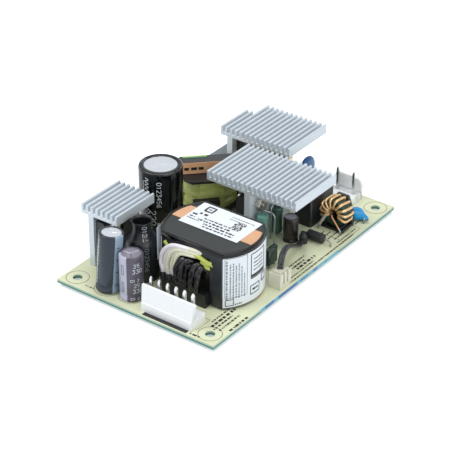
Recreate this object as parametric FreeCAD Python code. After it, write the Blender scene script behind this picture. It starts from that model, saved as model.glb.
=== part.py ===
# Open frame power supply: a mains converter on one bare printed circuit board.
# Units are millimetres. The origin is the centre of the four mounting holes, on the
# underside of the board. +X runs along the output edge, +Y from the output edge to the
# mains edge, and +Z away from the board on the side of the components.
# Places on the board are measured from its corner at the output edge, as on a board
# drawing: first along the output edge, then towards the mains edge.
import FreeCAD, Part
import math
import os

V = FreeCAD.Vector
UP = V(0, 0, 1)

# Board
board_length = 127.0
board_width = 76.2
board_thickness = 1.6
mount_spacing_x = 64.77
mount_spacing_y = 115.57
mount_hole_r = 1.95
lead_clearance = 0.1

# Clearances used between pieces
touch_gap = 0.1
thread_gap = 0.03

# Heatsinks: one fin pattern, cut to three sizes
fin_pitch = 2.45
fin_thickness = 0.95
fin_height = 2.9
flange_thickness = 1.3
stem_thickness = 2.8
stem_pin_r = 0.75
stem_pin_inset = 4.0

output_sink_fins = 8
output_sink_height = 26.9
output_sink_length = 23.2
output_sink_corner = (0.0, 15.8)
output_sink_stem = 3.4

switch_sink_fins = 19
switch_sink_pitch = 2.36
switch_sink_height = 28.0
switch_sink_length = 28.8
switch_sink_corner = (24.7, 64.5)
switch_sink_stem = 18.6

mains_sink_fins = 15
mains_sink_height = 28.0
mains_sink_length = 27.8
mains_sink_corner = (6.0, 99.0)
mains_sink_stem = 3.4
mains_sink_notch_length = 8.8
mains_sink_notch_fins = 2

# Power devices screwed to the stems
device_width = 10.2
device_height = 15.6
device_thickness = 4.4
device_hole_from_top = 3.2
device_lead_pitch = 2.54
device_lead_width = 0.8
device_lead_thickness = 0.6
device_stand_off = 5.0
device_chamfer = 0.8
bridge_width = 22.0
bridge_height = 17.0
bridge_thickness = 3.5
bridge_lead_pitch = 5.08
bridge_hole_from_top = 4.0
pad_thickness = 0.3
screw_r = 1.5
screw_hole_gap = 0.1
screw_head_r = 2.8
screw_head_height = 1.8
screw_tail = 0.8
nut_across_flats = 5.5
nut_thickness = 2.3
rectifier_rows = (6.1, 17.4)
switch_rows = (6.3, 19.5)
bridge_row = 13.9

# Electrolytic capacitors: diameter and height over the sleeve
sleeve_thickness = 0.25
sleeve_lip = 1.3
bulk_sleeve_lip = 2.2
can_chamfer = 0.8
bulk_capacitor_diameter = 18.0
bulk_capacitor_height = 32.3
bulk_capacitor_place = (11.3, 51.7)
output_capacitor_diameter = 10.0
output_capacitor_height = 25.0
output_capacitor_place = (20.4, 6.9)
output_capacitor_lean = 4.5
output_capacitor_lean_towards = 55.0
short_capacitor_diameter = 9.5
short_capacitor_height = 19.8
short_capacitor_place = (31.2, 8.1)
supply_capacitor_diameter = 6.3
supply_capacitor_height = 11.2
supply_capacitor_place = (56.6, 78.6)
filter_capacitor_diameter = 13.0
filter_capacitor_height = 16.3
filter_capacitor_place = (24.6, 23.0)
shrink_sleeve_thickness = 0.5
shrink_neck_r = 4.05
shrink_neck_height = 4.6
shrink_shoulder_height = 3.9
capacitor_lead_r = 0.4

# Main transformer
core_straight = 28.2
core_depth = 28.2
core_bulge = 6.0
core_height = 24.2
core_stand_off = 0.8
core_plate = 4.0
core_window_width = 17.4
core_window_r = 12.9
core_post_r = 6.0
core_place = (50.6, 34.5)
bobbin_wall = 0.8
bobbin_flange = 1.0
bobbin_rail_half = 8.4
bobbin_rail_shelf = 12.4
bobbin_rail_depth = 2.5
bobbin_rail_height = 6.0
bobbin_pin_r = 0.4
bobbin_pins = 5
bobbin_pin_pitch = 3.5
winding_r = 12.2
tape_thickness = 0.12
tape_width = 9.8
tape_offset = 3.2
label_thickness = 0.12
top_label_size = (27.8, 17.8)
top_label_offset = (-0.2, 5.0)
side_label_chord = 25.0
side_label_offset = -1.3
side_label_height = 22.4
side_label_drop = 1.4

# Leads of the main transformer
white_lead_r = 0.9
white_lead_plane = 19.25
white_lead_bend = 5.5
white_lead_paths = (
    ((53.2, 18.6), (53.2, 21.4), (38.7, 21.4), (37.4, 13.0), (39.4, 6.35)),
    ((45.6, 18.6), (45.6, 19.3), (40.4, 19.3), (39.4, 12.5), (41.4, 6.35)),
    ((43.7, 16.6), (43.7, 16.6), (42.0, 15.6), (41.7, 12.0), (43.7, 6.35)),
)
black_lead_r = 1.25
black_lead_columns = (48.1, 50.95, 55.45, 58.0)
black_lead_start = 18.2
black_lead_top = 18.8
black_lead_front = 17.6
black_lead_foot = (-0.8, 18.5, 6.4)
black_lead_bend = 2.5

# Boost choke behind the main transformer: a core bar lies across a taped winding
choke_place = (14.2, 79.9)
choke_turn = 45.0
choke_bar_half_length = 14.2
choke_bar_width = 5.8
choke_bar_height = 5.2
choke_bar_corner = 2.6
choke_sole_height = 2.8
choke_leg_thickness = 2.8
choke_top = 23.3
choke_stand_off = 0.3
choke_post_r = 2.9
choke_winding_half = 9.7
choke_winding_face = 8.0
choke_flange = 1.0
choke_flange_rim = 0.4
choke_bobbin_wall = 0.8
choke_tape_height = 5.0
choke_tape_thickness = 0.15
choke_block_length = 11.0
choke_block_depth = 1.8
choke_block_height = 10.0
choke_block_offset = -2.6
choke_block_pins = 4.2
choke_rear_pins = (4.8, 7.8)
choke_pin_r = 0.5

# Ring choke beside the mains connector
ring_core_r = 5.8
ring_bore_r = 3.0
ring_core_width = 5.4
ring_wire = 0.95
ring_turns = 13
ring_turn_step = 19.5
ring_first_turn = 58.0
ring_place = (65.4, 98.9)
holder_half_width = 5.3
holder_half_top = 2.6
holder_shoulder = 6.5
holder_height = 13.2
holder_plate = 1.5
holder_foot = 1.2

# Common mode choke of the mains filter, between the mains heatsink and the connector
filter_choke_place = (29.0, 107.5)
filter_choke_r = 8.4
filter_choke_bore_r = 3.6
filter_choke_width = 7.2
filter_choke_winding = 1.3
filter_choke_span = 124.0
filter_choke_rib = 15.5
filter_choke_lead_x = 6.3
filter_choke_lead_top = 5.4

# Connectors with a latch wall, 3.96 mm between contacts
contact_pitch = 3.96
contact_square = 1.1
contact_top = 14.0
contact_taper = 1.2
contact_tip = 0.5
header_end = 2.05
header_depth = 9.0
header_base = 3.6
header_wall = 1.1
header_wall_height = 10.8
header_wall_lean = 1.7
header_wall_flare = 0.7
header_edge_inset = 2.5
contact_inset = 4.1
output_contacts = 6
output_header_left = 40.05
mains_contacts = 3
mains_header_left = 49.9

# Two-way signal connector with its plug and twisted pair
signal_place = (72.0, 49.0)
signal_width = 5.4
signal_length = 7.6
signal_height = 6.6
signal_wall = 0.8
signal_floor = 1.6
signal_plug_rise = 0.6
signal_contact_pitch = 2.5
pair_wire_r = 0.62
pair_gap = 0.06
pair_bend = 9.0
pair_route = ((71.0, 51.6, 4.6), (67.6, 59.6, 3.4), (65.0, 68.6, -2.2))
pair_landing = (63.4, 75.6)
pair_low = 1.5
bead_place = (61.8, 80.2)
bead_r = 1.7
bead_height = 4.6
bead_tip_height = 1.6
bead_tip_r = 0.6
bead_lead_spacing = 2.5

# Small parts
resistor_r = 2.4
snubber_length = 13.0
bleed_length = 12.0
resistor_stand_off = 1.4
resistor_dome = 0.9
resistor_lead_r = 0.38
resistor_lead_rise = 2.0
snubber_place = (49.6, 68.6)
snubber_foot = (55.2, 68.9)
bleed_place = (49.5, 79.0)
bleed_foot = (49.5, 74.6)
diode_place = (65.2, 84.2)
diode_r = 2.0
diode_length = 7.4
diode_lift = 0.2
diode_span = 14.4
line_capacitor_width = 8.4
line_capacitor_height = 14.2
line_capacitor_middle = 53.8
line_capacitor_front = 91.3
line_capacitor_gap = 7.6
film_capacitor_size = (7.0, 16.0, 14.0)
film_capacitor_place = (5.4, 103.0)
box_edge = 0.5
box_lead_inset = 1.2
disc_r = 2.9
disc_face_r = 1.74
disc_rim = 0.6
disc_skirt = 3.9
disc_skirt_r = 1.26
disc_tip_r = 0.75
disc_thickness = 3.0
disc_place = (68.5, 109.2)
disc_foot = 73.2
disc_lead_spacing = 2.6
disc_lift = 0.9
disc_dip = 8.0
varistor_r = 5.2
varistor_thickness = 3.2
varistor_place = (37.2, 119.1)
varistor_lift = 4.0
varistor_lead_spacing = 5.0
dipped_size = (2.6, 7.0, 8.6)
dipped_lift = 0.8
dipped_lead_spacing = 4.0
dipped_place = (61.6, 57.8)
fuse_place = (45.4, 108.6)
fuse_size = (4.0, 8.5, 8.0)
fuse_lead_spacing = 5.0
coupler_size = (4.6, 5.2, 3.5)
coupler_lift = 0.5
coupler_shoulder = 2.4
coupler_places = ((34.6, 55.2), (34.6, 62.4))
coupler_foot_width = 7.62
coupler_leg = 0.5
coupler_hole_r = 0.38

# Parts and joints on the underside
solder_r = 1.15
solder_tip_r = 0.5
solder_height = 1.5
big_solder_r = 1.6
chip_size = (3.2, 1.6, 0.6)
chip_columns = (28.0, 34.0, 60.0)
chip_rows = (46.0, 52.0, 58.0, 64.0, 70.0, 90.0, 95.0, 104.0)
chip_clearance = 3.2
controller_size = (3.9, 8.7, 1.5)
controller_place = (36.0, 76.0)
controller_feet = 7
controller_foot_pitch = 1.27
controller_foot = (0.45, 1.0, 0.25)

drilled = []
exported = []


def at(place, above=0.0):
    # a point over the board's top face, from a place on the board drawing
    return V(place[0] - board_width / 2, place[1] - board_length / 2, board_thickness + above)


def moved(shape, place, above=0.0):
    copy = shape.copy()
    copy.translate(at(place, above))
    return copy


def save(name, shape):
    # one file for each piece, with its seams cleaned up
    exported.append(name)
    shape.exportStep("parts/" + name + ".step")


def drill(place, radius):
    # notes a lead that goes through the board, for its hole and its solder joint
    drilled.append((place[0], place[1], radius))


def rod(radius, low, high, place=(0.0, 0.0)):
    return Part.makeCylinder(radius, high - low, V(place[0], place[1], low))


def block(size_x, size_y, low, high, place=(0.0, 0.0)):
    corner = V(place[0] - size_x / 2, place[1] - size_y / 2, low)
    return Part.makeBox(size_x, size_y, high - low, corner)


def face_of(points):
    return Part.Face(Part.makePolygon(points + [points[0]]))


def prism(points, low, high):
    return face_of([V(x, y, low) for x, y in points]).extrude(V(0, 0, high - low))


def turned(points):
    # a solid of revolution about the vertical, from its half outline of radius and height
    outline = face_of([V(radius, 0, height) for radius, height in points])
    return outline.revolve(V(0, 0, 0), UP, 360)


def joined(shapes):
    whole = shapes[0]
    for shape in shapes[1:]:
        whole = whole.fuse(shape)
    return whole.removeSplitter()


def lead_path(points, widest):
    # straight runs joined by tangent arcs, each bend no wider than its runs allow
    edges = []
    start = points[0]
    for before, corner, after in zip(points, points[1:], points[2:]):
        run = min((before - corner).Length, (after - corner).Length)
        back = (before - corner).normalize()
        ahead = (after - corner).normalize()
        half = math.acos(max(-1.0, min(1.0, back.dot(ahead)))) / 2
        radius = min(widest, 0.45 * run * math.tan(half))
        reach = radius / math.tan(half)
        if (back + ahead).Length < 1e-3:
            continue
        middle_way = (back + ahead).normalize()
        centre = corner + middle_way * (radius / math.sin(half))
        enter = corner + back * reach
        leave = corner + ahead * reach
        middle = centre - middle_way * radius
        edges.append(Part.makeLine(start, enter))
        edges.append(Part.Arc(enter, middle, leave).toShape())
        start = leave
    edges.append(Part.makeLine(start, points[-1]))
    return Part.Wire(edges)


def lead(points, radius, widest):
    path = lead_path(points, widest)
    along = points[1] - points[0]
    ring = Part.Wire(Part.makeCircle(radius, points[0], along))
    return path.makePipeShell([ring], True, False)


def through_lead(place, radius, top):
    drill(place, radius)
    foot = at(place).z - board_thickness
    corner = at(place)
    return Part.makeCylinder(radius, top + board_thickness, V(corner.x, corner.y, foot))


# Heatsinks


def heatsink(fins, pitch, height, length, stem_from_left):
    # extruded section: a stem that carries a flange with fins on top
    width = (fins - 1) * pitch + fin_thickness
    root = height - fin_height
    under = root - flange_thickness
    right = stem_from_left + stem_thickness
    outline = [(stem_from_left, 0.0), (stem_from_left, under), (0.0, under)]
    for fin in range(fins):
        left = fin * pitch
        outline.append((left, root if fin else height))
        if fin:
            outline.append((left, height))
        outline.append((left + fin_thickness, height))
        if fin < fins - 1:
            outline.append((left + fin_thickness, root))
    outline += [(width, under), (right, under), (right, 0.0)]
    return face_of([V(x, 0, z) for x, z in outline]).extrude(V(0, length, 0))


def stem_pins(length, stem_from_left):
    middle = stem_from_left + stem_thickness / 2
    rows = (stem_pin_inset, length - stem_pin_inset)
    return [(middle, row) for row in rows]


def make_heatsink(name, fins, pitch, height, length, corner, stem_from_left, holes, notch):
    body = heatsink(fins, pitch, height, length, stem_from_left)
    for row, level in holes:
        bore = Part.makeCylinder(screw_r + screw_hole_gap, stem_thickness + 2,
                                 V(stem_from_left - 1, row, level), V(1, 0, 0))
        body = body.cut(bore)
    if notch:
        notch_width = (mains_sink_notch_fins - 1) * pitch + fin_thickness
        body = body.cut(Part.makeBox(notch_width + touch_gap, notch + 1, height,
                                     V(-touch_gap, length - notch, height / 2)))
    pins = []
    for pin in stem_pins(length, stem_from_left):
        pins.append(rod(stem_pin_r, -board_thickness, stem_pin_inset, pin))
        drill((corner[0] + pin[0], corner[1] + pin[1]), stem_pin_r)
    save(name, moved(joined([body] + pins), corner))


def device_hole_level():
    return device_stand_off + device_height - device_hole_from_top


def bridge_hole_level():
    return device_stand_off + bridge_height - bridge_hole_from_top


# Power devices: local X points away from the stem, the pad's outer face is at X = 0


def packaged_device(width, height, thickness, hole_from_top, pitch, count):
    top = device_stand_off + height
    outline = [
        (0.0, device_stand_off),
        (0.0, top),
        (thickness - device_chamfer, top),
        (thickness, top - device_chamfer),
        (thickness, device_stand_off),
    ]
    body = face_of([V(x, -width / 2, z) for x, z in outline]).extrude(V(0, width, 0))
    level = top - hole_from_top
    body = body.cut(Part.makeCylinder(screw_r + screw_hole_gap, thickness + 2,
                                      V(-1, 0, level), V(1, 0, 0)))
    legs = []
    for index in range(count):
        across = (index - (count - 1) / 2) * pitch
        legs.append(block(device_lead_thickness, device_lead_width, -board_thickness,
                          device_stand_off + 1, (thickness / 2, across)))
    return joined([body] + legs)


def fit_device(name, shape, face, row, side, pitch, count, thickness):
    # side is 1 where the device stands on the +X face of the stem, -1 on the other
    placed = shape.copy()
    if side < 0:
        placed.rotate(V(0, 0, 0), UP, 180)
    outer = face + side * pad_thickness
    save(name, moved(placed, (outer, row)))
    hole_r = math.hypot(device_lead_width, device_lead_thickness) / 2
    for index in range(count):
        across = (index - (count - 1) / 2) * pitch
        drill((outer + side * thickness / 2, row + across), hole_r)


def pad(width, height, face, row, side, level):
    sheet = Part.makeBox(pad_thickness, width, height, V(0, -width / 2, device_stand_off))
    sheet = sheet.cut(Part.makeCylinder(screw_r + screw_hole_gap, 2 * pad_thickness + 2,
                                        V(-1, 0, level), V(1, 0, 0)))
    start = face if side > 0 else face - pad_thickness
    return moved(sheet, (start, row))


def screw(face, row, side, level, thickness):
    # the head bears on the device, the tail passes the stem and the nut
    reach = pad_thickness + thickness
    length = reach + stem_thickness + nut_thickness + screw_tail
    way = V(-side, 0, 0)
    seat = at((face + side * reach, row), level)
    shank = Part.makeCylinder(screw_r, length, seat, way)
    head = Part.makeCylinder(screw_head_r, screw_head_height, seat, -way)
    rounded = head.makeChamfer(screw_head_height / 3, [top_edge(head, seat, -way)])
    return shank.fuse(rounded).removeSplitter()


def top_edge(cylinder, seat, way):
    # the circle at the far end of a cylinder
    circles = [edge for edge in cylinder.Edges if edge.isClosed()]
    return max(circles, key=lambda edge: (edge.CenterOfMass - seat).dot(way))


def nut(face, row, side, level):
    points = []
    for corner in range(6):
        angle = math.radians(60 * corner)
        reach = nut_across_flats / math.sqrt(3)
        points.append(V(0, reach * math.cos(angle), reach * math.sin(angle)))
    body = face_of(points).extrude(V(nut_thickness, 0, 0))
    body = body.cut(Part.makeCylinder(screw_r + thread_gap, nut_thickness + 2,
                                      V(-1, 0, 0), V(1, 0, 0)))
    start = face - side * stem_thickness
    if side > 0:
        start -= nut_thickness
    return moved(body, (start, row), level)


def build_heatsinks():
    out_face = output_sink_corner[0] + output_sink_stem + stem_thickness
    switch_face = switch_sink_corner[0] + switch_sink_stem
    mains_face = mains_sink_corner[0] + mains_sink_stem + stem_thickness
    level = device_hole_level()
    bridge_level = bridge_hole_level()
    make_heatsink("output_heatsink", output_sink_fins, fin_pitch, output_sink_height,
                  output_sink_length, output_sink_corner, output_sink_stem,
                  [(row, level) for row in rectifier_rows], 0)
    make_heatsink("switch_heatsink", switch_sink_fins, switch_sink_pitch,
                  switch_sink_height, switch_sink_length, switch_sink_corner,
                  switch_sink_stem, [(row, level) for row in switch_rows], 0)
    make_heatsink("mains_heatsink", mains_sink_fins, fin_pitch, mains_sink_height,
                  mains_sink_length, mains_sink_corner, mains_sink_stem,
                  [(bridge_row, bridge_level)], mains_sink_notch_length)
    small = packaged_device(device_width, device_height, device_thickness,
                            device_hole_from_top, device_lead_pitch, 3)
    large = packaged_device(bridge_width, bridge_height, bridge_thickness,
                            bridge_hole_from_top, bridge_lead_pitch, 4)
    seats = [
        ("output_rectifier_1", out_face, output_sink_corner[1] + rectifier_rows[0], 1),
        ("output_rectifier_2", out_face, output_sink_corner[1] + rectifier_rows[1], 1),
        ("power_transistor", switch_face, switch_sink_corner[1] + switch_rows[0], -1),
        ("boost_diode", switch_face, switch_sink_corner[1] + switch_rows[1], -1),
    ]
    pads = []
    screws = []
    nuts = []
    for name, face, row, side in seats:
        fit_device(name, small, face, row, side, device_lead_pitch, 3, device_thickness)
        pads.append(pad(device_width, device_height, face, row, side, level))
        screws.append(screw(face, row, side, level, device_thickness))
        nuts.append(nut(face, row, side, level))
    bridge_at = mains_sink_corner[1] + bridge_row
    fit_device("bridge_rectifier", large, mains_face, bridge_at, 1, bridge_lead_pitch, 4,
               bridge_thickness)
    pads.append(pad(bridge_width, bridge_height, mains_face, bridge_at, 1, bridge_level))
    screws.append(screw(mains_face, bridge_at, 1, bridge_level, bridge_thickness))
    nuts.append(nut(mains_face, bridge_at, 1, bridge_level))
    save("thermal_pads", Part.makeCompound(pads))
    save("heatsink_screws", Part.makeCompound(screws))
    save("heatsink_nuts", Part.makeCompound(nuts))


# Electrolytic capacitors


def can_outline(radius, low, high):
    return [(0.0, low), (radius, low), (radius, high - can_chamfer),
            (radius - can_chamfer, high), (0.0, high)]


def electrolytic(name, place, diameter, height, lip=sleeve_lip, lean=0.0, towards=0.0):
    # an aluminium can in a printed sleeve that rolls over both of its ends
    radius = diameter / 2
    lift = radius * math.sin(math.radians(lean))
    can_r = radius - sleeve_thickness
    can = turned(can_outline(can_r, sleeve_thickness, height - sleeve_thickness))
    sleeve = turned(can_outline(radius, 0.0, height)).cut(can)
    mouth = rod(can_r - lip, -1, height + 1)
    sleeve = sleeve.cut(mouth.cut(can))
    axis = V(-math.sin(math.radians(towards)), math.cos(math.radians(towards)), 0)
    for shape in (can, sleeve):
        shape.rotate(V(0, 0, 0), axis, lean)
        shape.translate(V(0, 0, lift))
    spacing = max(2.5, diameter * 0.42)
    leads = []
    for side in (-1, 1):
        foot = (place[0] + side * spacing / 2, place[1])
        leads.append(through_lead(foot, capacitor_lead_r, height / 3))
    save(name + "_can", joined([moved(can, place)] + leads))
    cleared = moved(sleeve, place)
    for each in leads:
        cleared = cleared.cut(each)
    save(name + "_sleeve", cleared)


def build_filter_capacitor():
    # a capacitor stands in a heat-shrunk sleeve that narrows to an open neck above it
    radius = filter_capacitor_diameter / 2
    inner = radius
    can = turned(can_outline(radius, 0.0, filter_capacitor_height))
    leads = []
    for side in (-1, 1):
        foot = (filter_capacitor_place[0] + side * 2.5, filter_capacitor_place[1])
        leads.append(through_lead(foot, capacitor_lead_r, filter_capacitor_height / 3))
    save("filter_capacitor", joined([moved(can, filter_capacitor_place)] + leads))
    wall = shrink_sleeve_thickness
    shoulder = filter_capacitor_height
    neck = shoulder + shrink_shoulder_height
    top = neck + shrink_neck_height
    bore = shrink_neck_r - wall
    outline = [
        (inner, 0.0),
        (inner + wall, 0.0),
        (inner + wall, shoulder - can_chamfer),
        (inner, shoulder + shrink_shoulder_height * 0.4),
        (shrink_neck_r, neck),
        (shrink_neck_r, top),
        (bore, top),
        (bore, neck),
        (inner - wall, shoulder + shrink_shoulder_height * 0.3),
        (inner, shoulder - can_chamfer),
    ]
    sleeve = turned(outline).cut(can)
    save("shrink_sleeve", moved(sleeve, filter_capacitor_place))


# Main transformer


def core_end(offset):
    # the bulge of the core's end: a shallow arc from front to back
    return core_straight / 2 + core_bulge + offset


def core_outline(offset):
    # plan of the core, or of a layer laid on it
    half = core_straight / 2
    deep = core_depth / 2
    end = core_end(offset)
    right = Part.Arc(V(half + offset, -deep, 0), V(end, 0, 0), V(half + offset, deep, 0))
    left = Part.Arc(V(-half - offset, deep, 0), V(-end, 0, 0), V(-half - offset, -deep, 0))
    front = Part.makeLine(V(-half - offset, -deep, 0), V(half + offset, -deep, 0))
    back = Part.makeLine(V(half + offset, deep, 0), V(-half - offset, deep, 0))
    return Part.Face(Part.Wire([front, right.toShape(), back, left.toShape()]))


def core_layer(offset, low, high):
    plan = core_outline(offset)
    plan.translate(V(0, 0, low))
    return plan.extrude(V(0, 0, high - low))


def build_transformer():
    low = core_stand_off
    high = core_stand_off + core_height
    floor = low + core_plate
    ceiling = high - core_plate
    middle = (low + high) / 2
    window = rod(core_window_r, floor, ceiling)
    window = window.fuse(block(core_window_width, core_depth + 2, floor, ceiling))
    window = window.cut(rod(core_post_r, floor, ceiling))
    whole = core_layer(0.0, low, high).cut(window).removeSplitter()
    lower = whole.common(block(60, 60, low - 1, middle))
    upper = whole.common(block(60, 60, middle, high + 1))
    save("transformer_core", moved(Part.makeCompound([lower, upper]), core_place))

    sleeve_r = core_post_r + touch_gap + bobbin_wall
    flange_r = core_window_r - touch_gap
    flange_low = floor + touch_gap
    flange_high = ceiling - touch_gap
    pieces = [
        rod(sleeve_r, flange_low, flange_high),
        rod(flange_r, flange_low, flange_low + bobbin_flange),
        rod(flange_r, flange_high - bobbin_flange, flange_high),
    ]
    reach = core_depth / 2 + touch_gap
    pins = []
    for side, shelf in ((-1, bobbin_rail_shelf), (1, bobbin_rail_half)):
        # the front rail carries a shelf for the sleeved leads
        rail_y = side * (reach + bobbin_rail_depth / 2)
        rail_x = (bobbin_rail_half - shelf) / 2
        pieces.append(block(bobbin_rail_half + shelf, bobbin_rail_depth, 0.0,
                            bobbin_rail_height, (rail_x, rail_y)))
        neck_y = side * (reach / 2 + bobbin_wall)
        pieces.append(block(2 * bobbin_rail_half - bobbin_wall, reach, flange_low,
                            flange_low + bobbin_flange, (0.0, neck_y)))
        for index in range(bobbin_pins):
            along = (index - (bobbin_pins - 1) / 2) * bobbin_pin_pitch
            spot = (core_place[0] + along, core_place[1] + rail_y)
            pins.append(through_lead(spot, bobbin_pin_r, bobbin_rail_height / 2))
    bore = rod(core_post_r + touch_gap, flange_low - 1, flange_high + 1)
    bobbin = moved(joined(pieces).cut(bore), core_place)
    save("transformer_bobbin", joined([bobbin] + pins))

    wound_low = flange_low + bobbin_flange
    wound_high = flange_high - bobbin_flange
    winding = rod(winding_r, wound_low, wound_high).cut(rod(sleeve_r, wound_low, wound_high))
    save("transformer_winding", moved(winding, core_place))
    return high, (wound_low, wound_high)


def build_transformer_wraps(high):
    # an orange band runs over the top and both ends, with paper labels stuck over it
    low = core_stand_off
    strip = block(80, tape_width, -1, high + 1, (0.0, tape_offset))
    band = core_layer(tape_thickness, low, high + tape_thickness).common(strip)
    band = band.cut(core_layer(0.0, low - 1, high))
    save("core_tape", moved(band, core_place))

    skin = tape_thickness
    paper = high + skin
    top = block(top_label_size[0], top_label_size[1], paper, paper + label_thickness,
                top_label_offset)
    label_low = high - side_label_drop - side_label_height
    sides = core_layer(skin + label_thickness, label_low, high - side_label_drop)
    sides = sides.cut(core_layer(skin, label_low - 1, high))
    strips = []
    for side in (-1, 1):
        half = block(60, side_label_chord, label_low, high, (side * 30.0, side_label_offset))
        strips.append(sides.common(half))
    save("transformer_labels", moved(Part.makeCompound([top] + strips), core_place))


def winding_front(column, radius):
    # how far forward the winding comes where a lead leaves it
    aside = max(0.0, abs(column - core_place[0]) - radius)
    return core_place[1] - math.sqrt(winding_r ** 2 - aside ** 2) - 2 * touch_gap


def build_transformer_leads():
    # white sleeved leads leave the window and arch down to the shelf at the left
    whites = []
    for path in white_lead_paths:
        (start_x, start_z), *rest = path
        points = [at((start_x, winding_front(start_x, white_lead_r)), start_z)]
        points.append(at((start_x, white_lead_plane + 0.9), start_z))
        points += [at((x, white_lead_plane), z) for x, z in rest]
        whites.append(lead(points, white_lead_r, white_lead_bend))
    save("white_leads", Part.makeCompound(whites))

    # black sleeved leads leave in two pairs and drop to the rail
    blacks = []
    for column in black_lead_columns:
        shift, foot_y, foot_z = black_lead_foot
        points = [
            at((column, winding_front(column, black_lead_r)), black_lead_start),
            at((column, black_lead_front), black_lead_top),
            at((column + shift / 3, black_lead_front - 0.3), (black_lead_top + foot_z) * 0.45),
            at((column + shift, foot_y), foot_z),
        ]
        blacks.append(lead(points, black_lead_r, black_lead_bend))
    save("black_leads", Part.makeCompound(blacks))


# Boost choke


def choke_outline(rim):
    # plan of the taped winding: long sides beside the bar, cut corners, ends at the legs
    side = choke_winding_half + rim
    end = choke_bar_half_length - choke_leg_thickness - touch_gap
    cut = choke_winding_face + choke_winding_half + rim * math.sqrt(2)
    quarter = [(end, cut - end), (cut - side, side)]
    ring = []
    for turn_x, turn_y in ((1, 1), (-1, 1), (-1, -1), (1, -1)):
        corner = [(x * turn_x, y * turn_y) for x, y in quarter]
        ring += corner if turn_x * turn_y > 0 else corner[::-1]
    return ring


def build_boost_choke():
    low = choke_stand_off
    top = choke_top
    ceiling = top - choke_bar_height
    floor = low + choke_sole_height
    half = choke_bar_half_length
    leg = choke_leg_thickness
    deep = choke_bar_width / 2
    cut = choke_bar_corner
    bar = prism([(-half, -deep), (half, -deep), (half, deep - cut), (half - cut, deep),
                 (cut - half, deep), (-half, deep - cut)], ceiling, top)
    sole = block(2 * half, choke_bar_width, low, floor)
    legs = [block(leg, choke_bar_width - cut, floor, ceiling,
                  (side * (half - leg / 2), -cut / 2)) for side in (-1, 1)]
    core = joined([bar, sole] + legs + [rod(choke_post_r, floor, ceiling)])

    flange_low = floor + touch_gap
    flange_high = ceiling - touch_gap
    sleeve_r = choke_post_r + touch_gap + choke_bobbin_wall
    rim = choke_outline(choke_flange_rim)
    # a terminal block on the front of the lower flange holds the pins
    block_y = -choke_winding_half - choke_flange_rim - choke_block_depth / 2
    terminal = block(choke_block_length, choke_block_depth + 2 * choke_flange_rim, 0.0,
                     choke_block_height, (choke_block_offset, block_y))
    bobbin = joined([
        rod(sleeve_r, flange_low, flange_high),
        prism(rim, flange_low, flange_low + choke_flange),
        prism(rim, flange_high - choke_flange, flange_high),
        terminal,
    ]).cut(rod(choke_post_r + touch_gap, flange_low - 1, flange_high + 1))

    wound_low = flange_low + choke_flange
    wound_high = flange_high - choke_flange
    winding = prism(choke_outline(0.0), wound_low, wound_high)
    winding = winding.cut(rod(sleeve_r, wound_low, wound_high))

    skin = choke_tape_thickness
    tape_high = top - (choke_bar_height - choke_tape_height) / 2
    outer = [(-half - skin, -deep - skin), (half + skin, -deep - skin),
             (half + skin, deep - cut + skin / 2), (half - cut + skin / 2, deep + skin),
             (cut - half - skin / 2, deep + skin), (-half - skin, deep - cut + skin / 2)]
    band = prism(outer, tape_high - choke_tape_height, tape_high)
    band = band.cut(prism([(-half, -deep), (half, -deep), (half, deep - cut),
                           (half - cut, deep), (cut - half, deep), (-half, deep - cut)],
                          low, top + 1))

    pin_spots = [(choke_block_offset + side * choke_block_pins, block_y)
                 for side in (-1, 1)]
    pin_spots += [(side * choke_rear_pins[0], choke_rear_pins[1]) for side in (-1, 1)]
    pins = [rod(choke_pin_r, -board_thickness, flange_low + 0.5, spot) for spot in pin_spots]
    bobbin = joined([bobbin] + pins)
    for name, shape in (("boost_choke_core", core), ("boost_choke_bobbin", bobbin),
                        ("boost_choke_winding", winding), ("boost_choke_tape", band)):
        shape.rotate(V(0, 0, 0), UP, choke_turn)
        save(name, moved(shape, choke_place))
    turn = math.radians(choke_turn)
    for x, y in pin_spots:
        spot_x = choke_place[0] + x * math.cos(turn) - y * math.sin(turn)
        spot_y = choke_place[1] + x * math.sin(turn) + y * math.cos(turn)
        drill((spot_x, spot_y), choke_pin_r)


# Ring choke: its axis lies along Y, and a moulded holder stands behind it


def ring_turn(inner, outer, width, wire, spin):
    # one turn of wire: a flat rounded loop round the ring's section
    half = width / 2
    inside = math.sqrt(inner ** 2 - wire ** 2)
    hoop = Part.makeBox(outer - inside + 2 * wire, width + 2 * wire, wire,
                        V(inside - wire, -half - wire, -wire / 2))
    corners = [edge for edge in hoop.Edges if abs(edge.tangentAt(edge.FirstParameter).z) > 0.9]
    hoop = hoop.makeChamfer(wire * 0.8, corners)
    hoop = hoop.cut(Part.makeBox(outer - inside, width, 4 * wire,
                                 V(inside, -half, -2 * wire)))
    hoop.rotate(V(0, 0, 0), V(0, 1, 0), spin)
    return hoop


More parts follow.
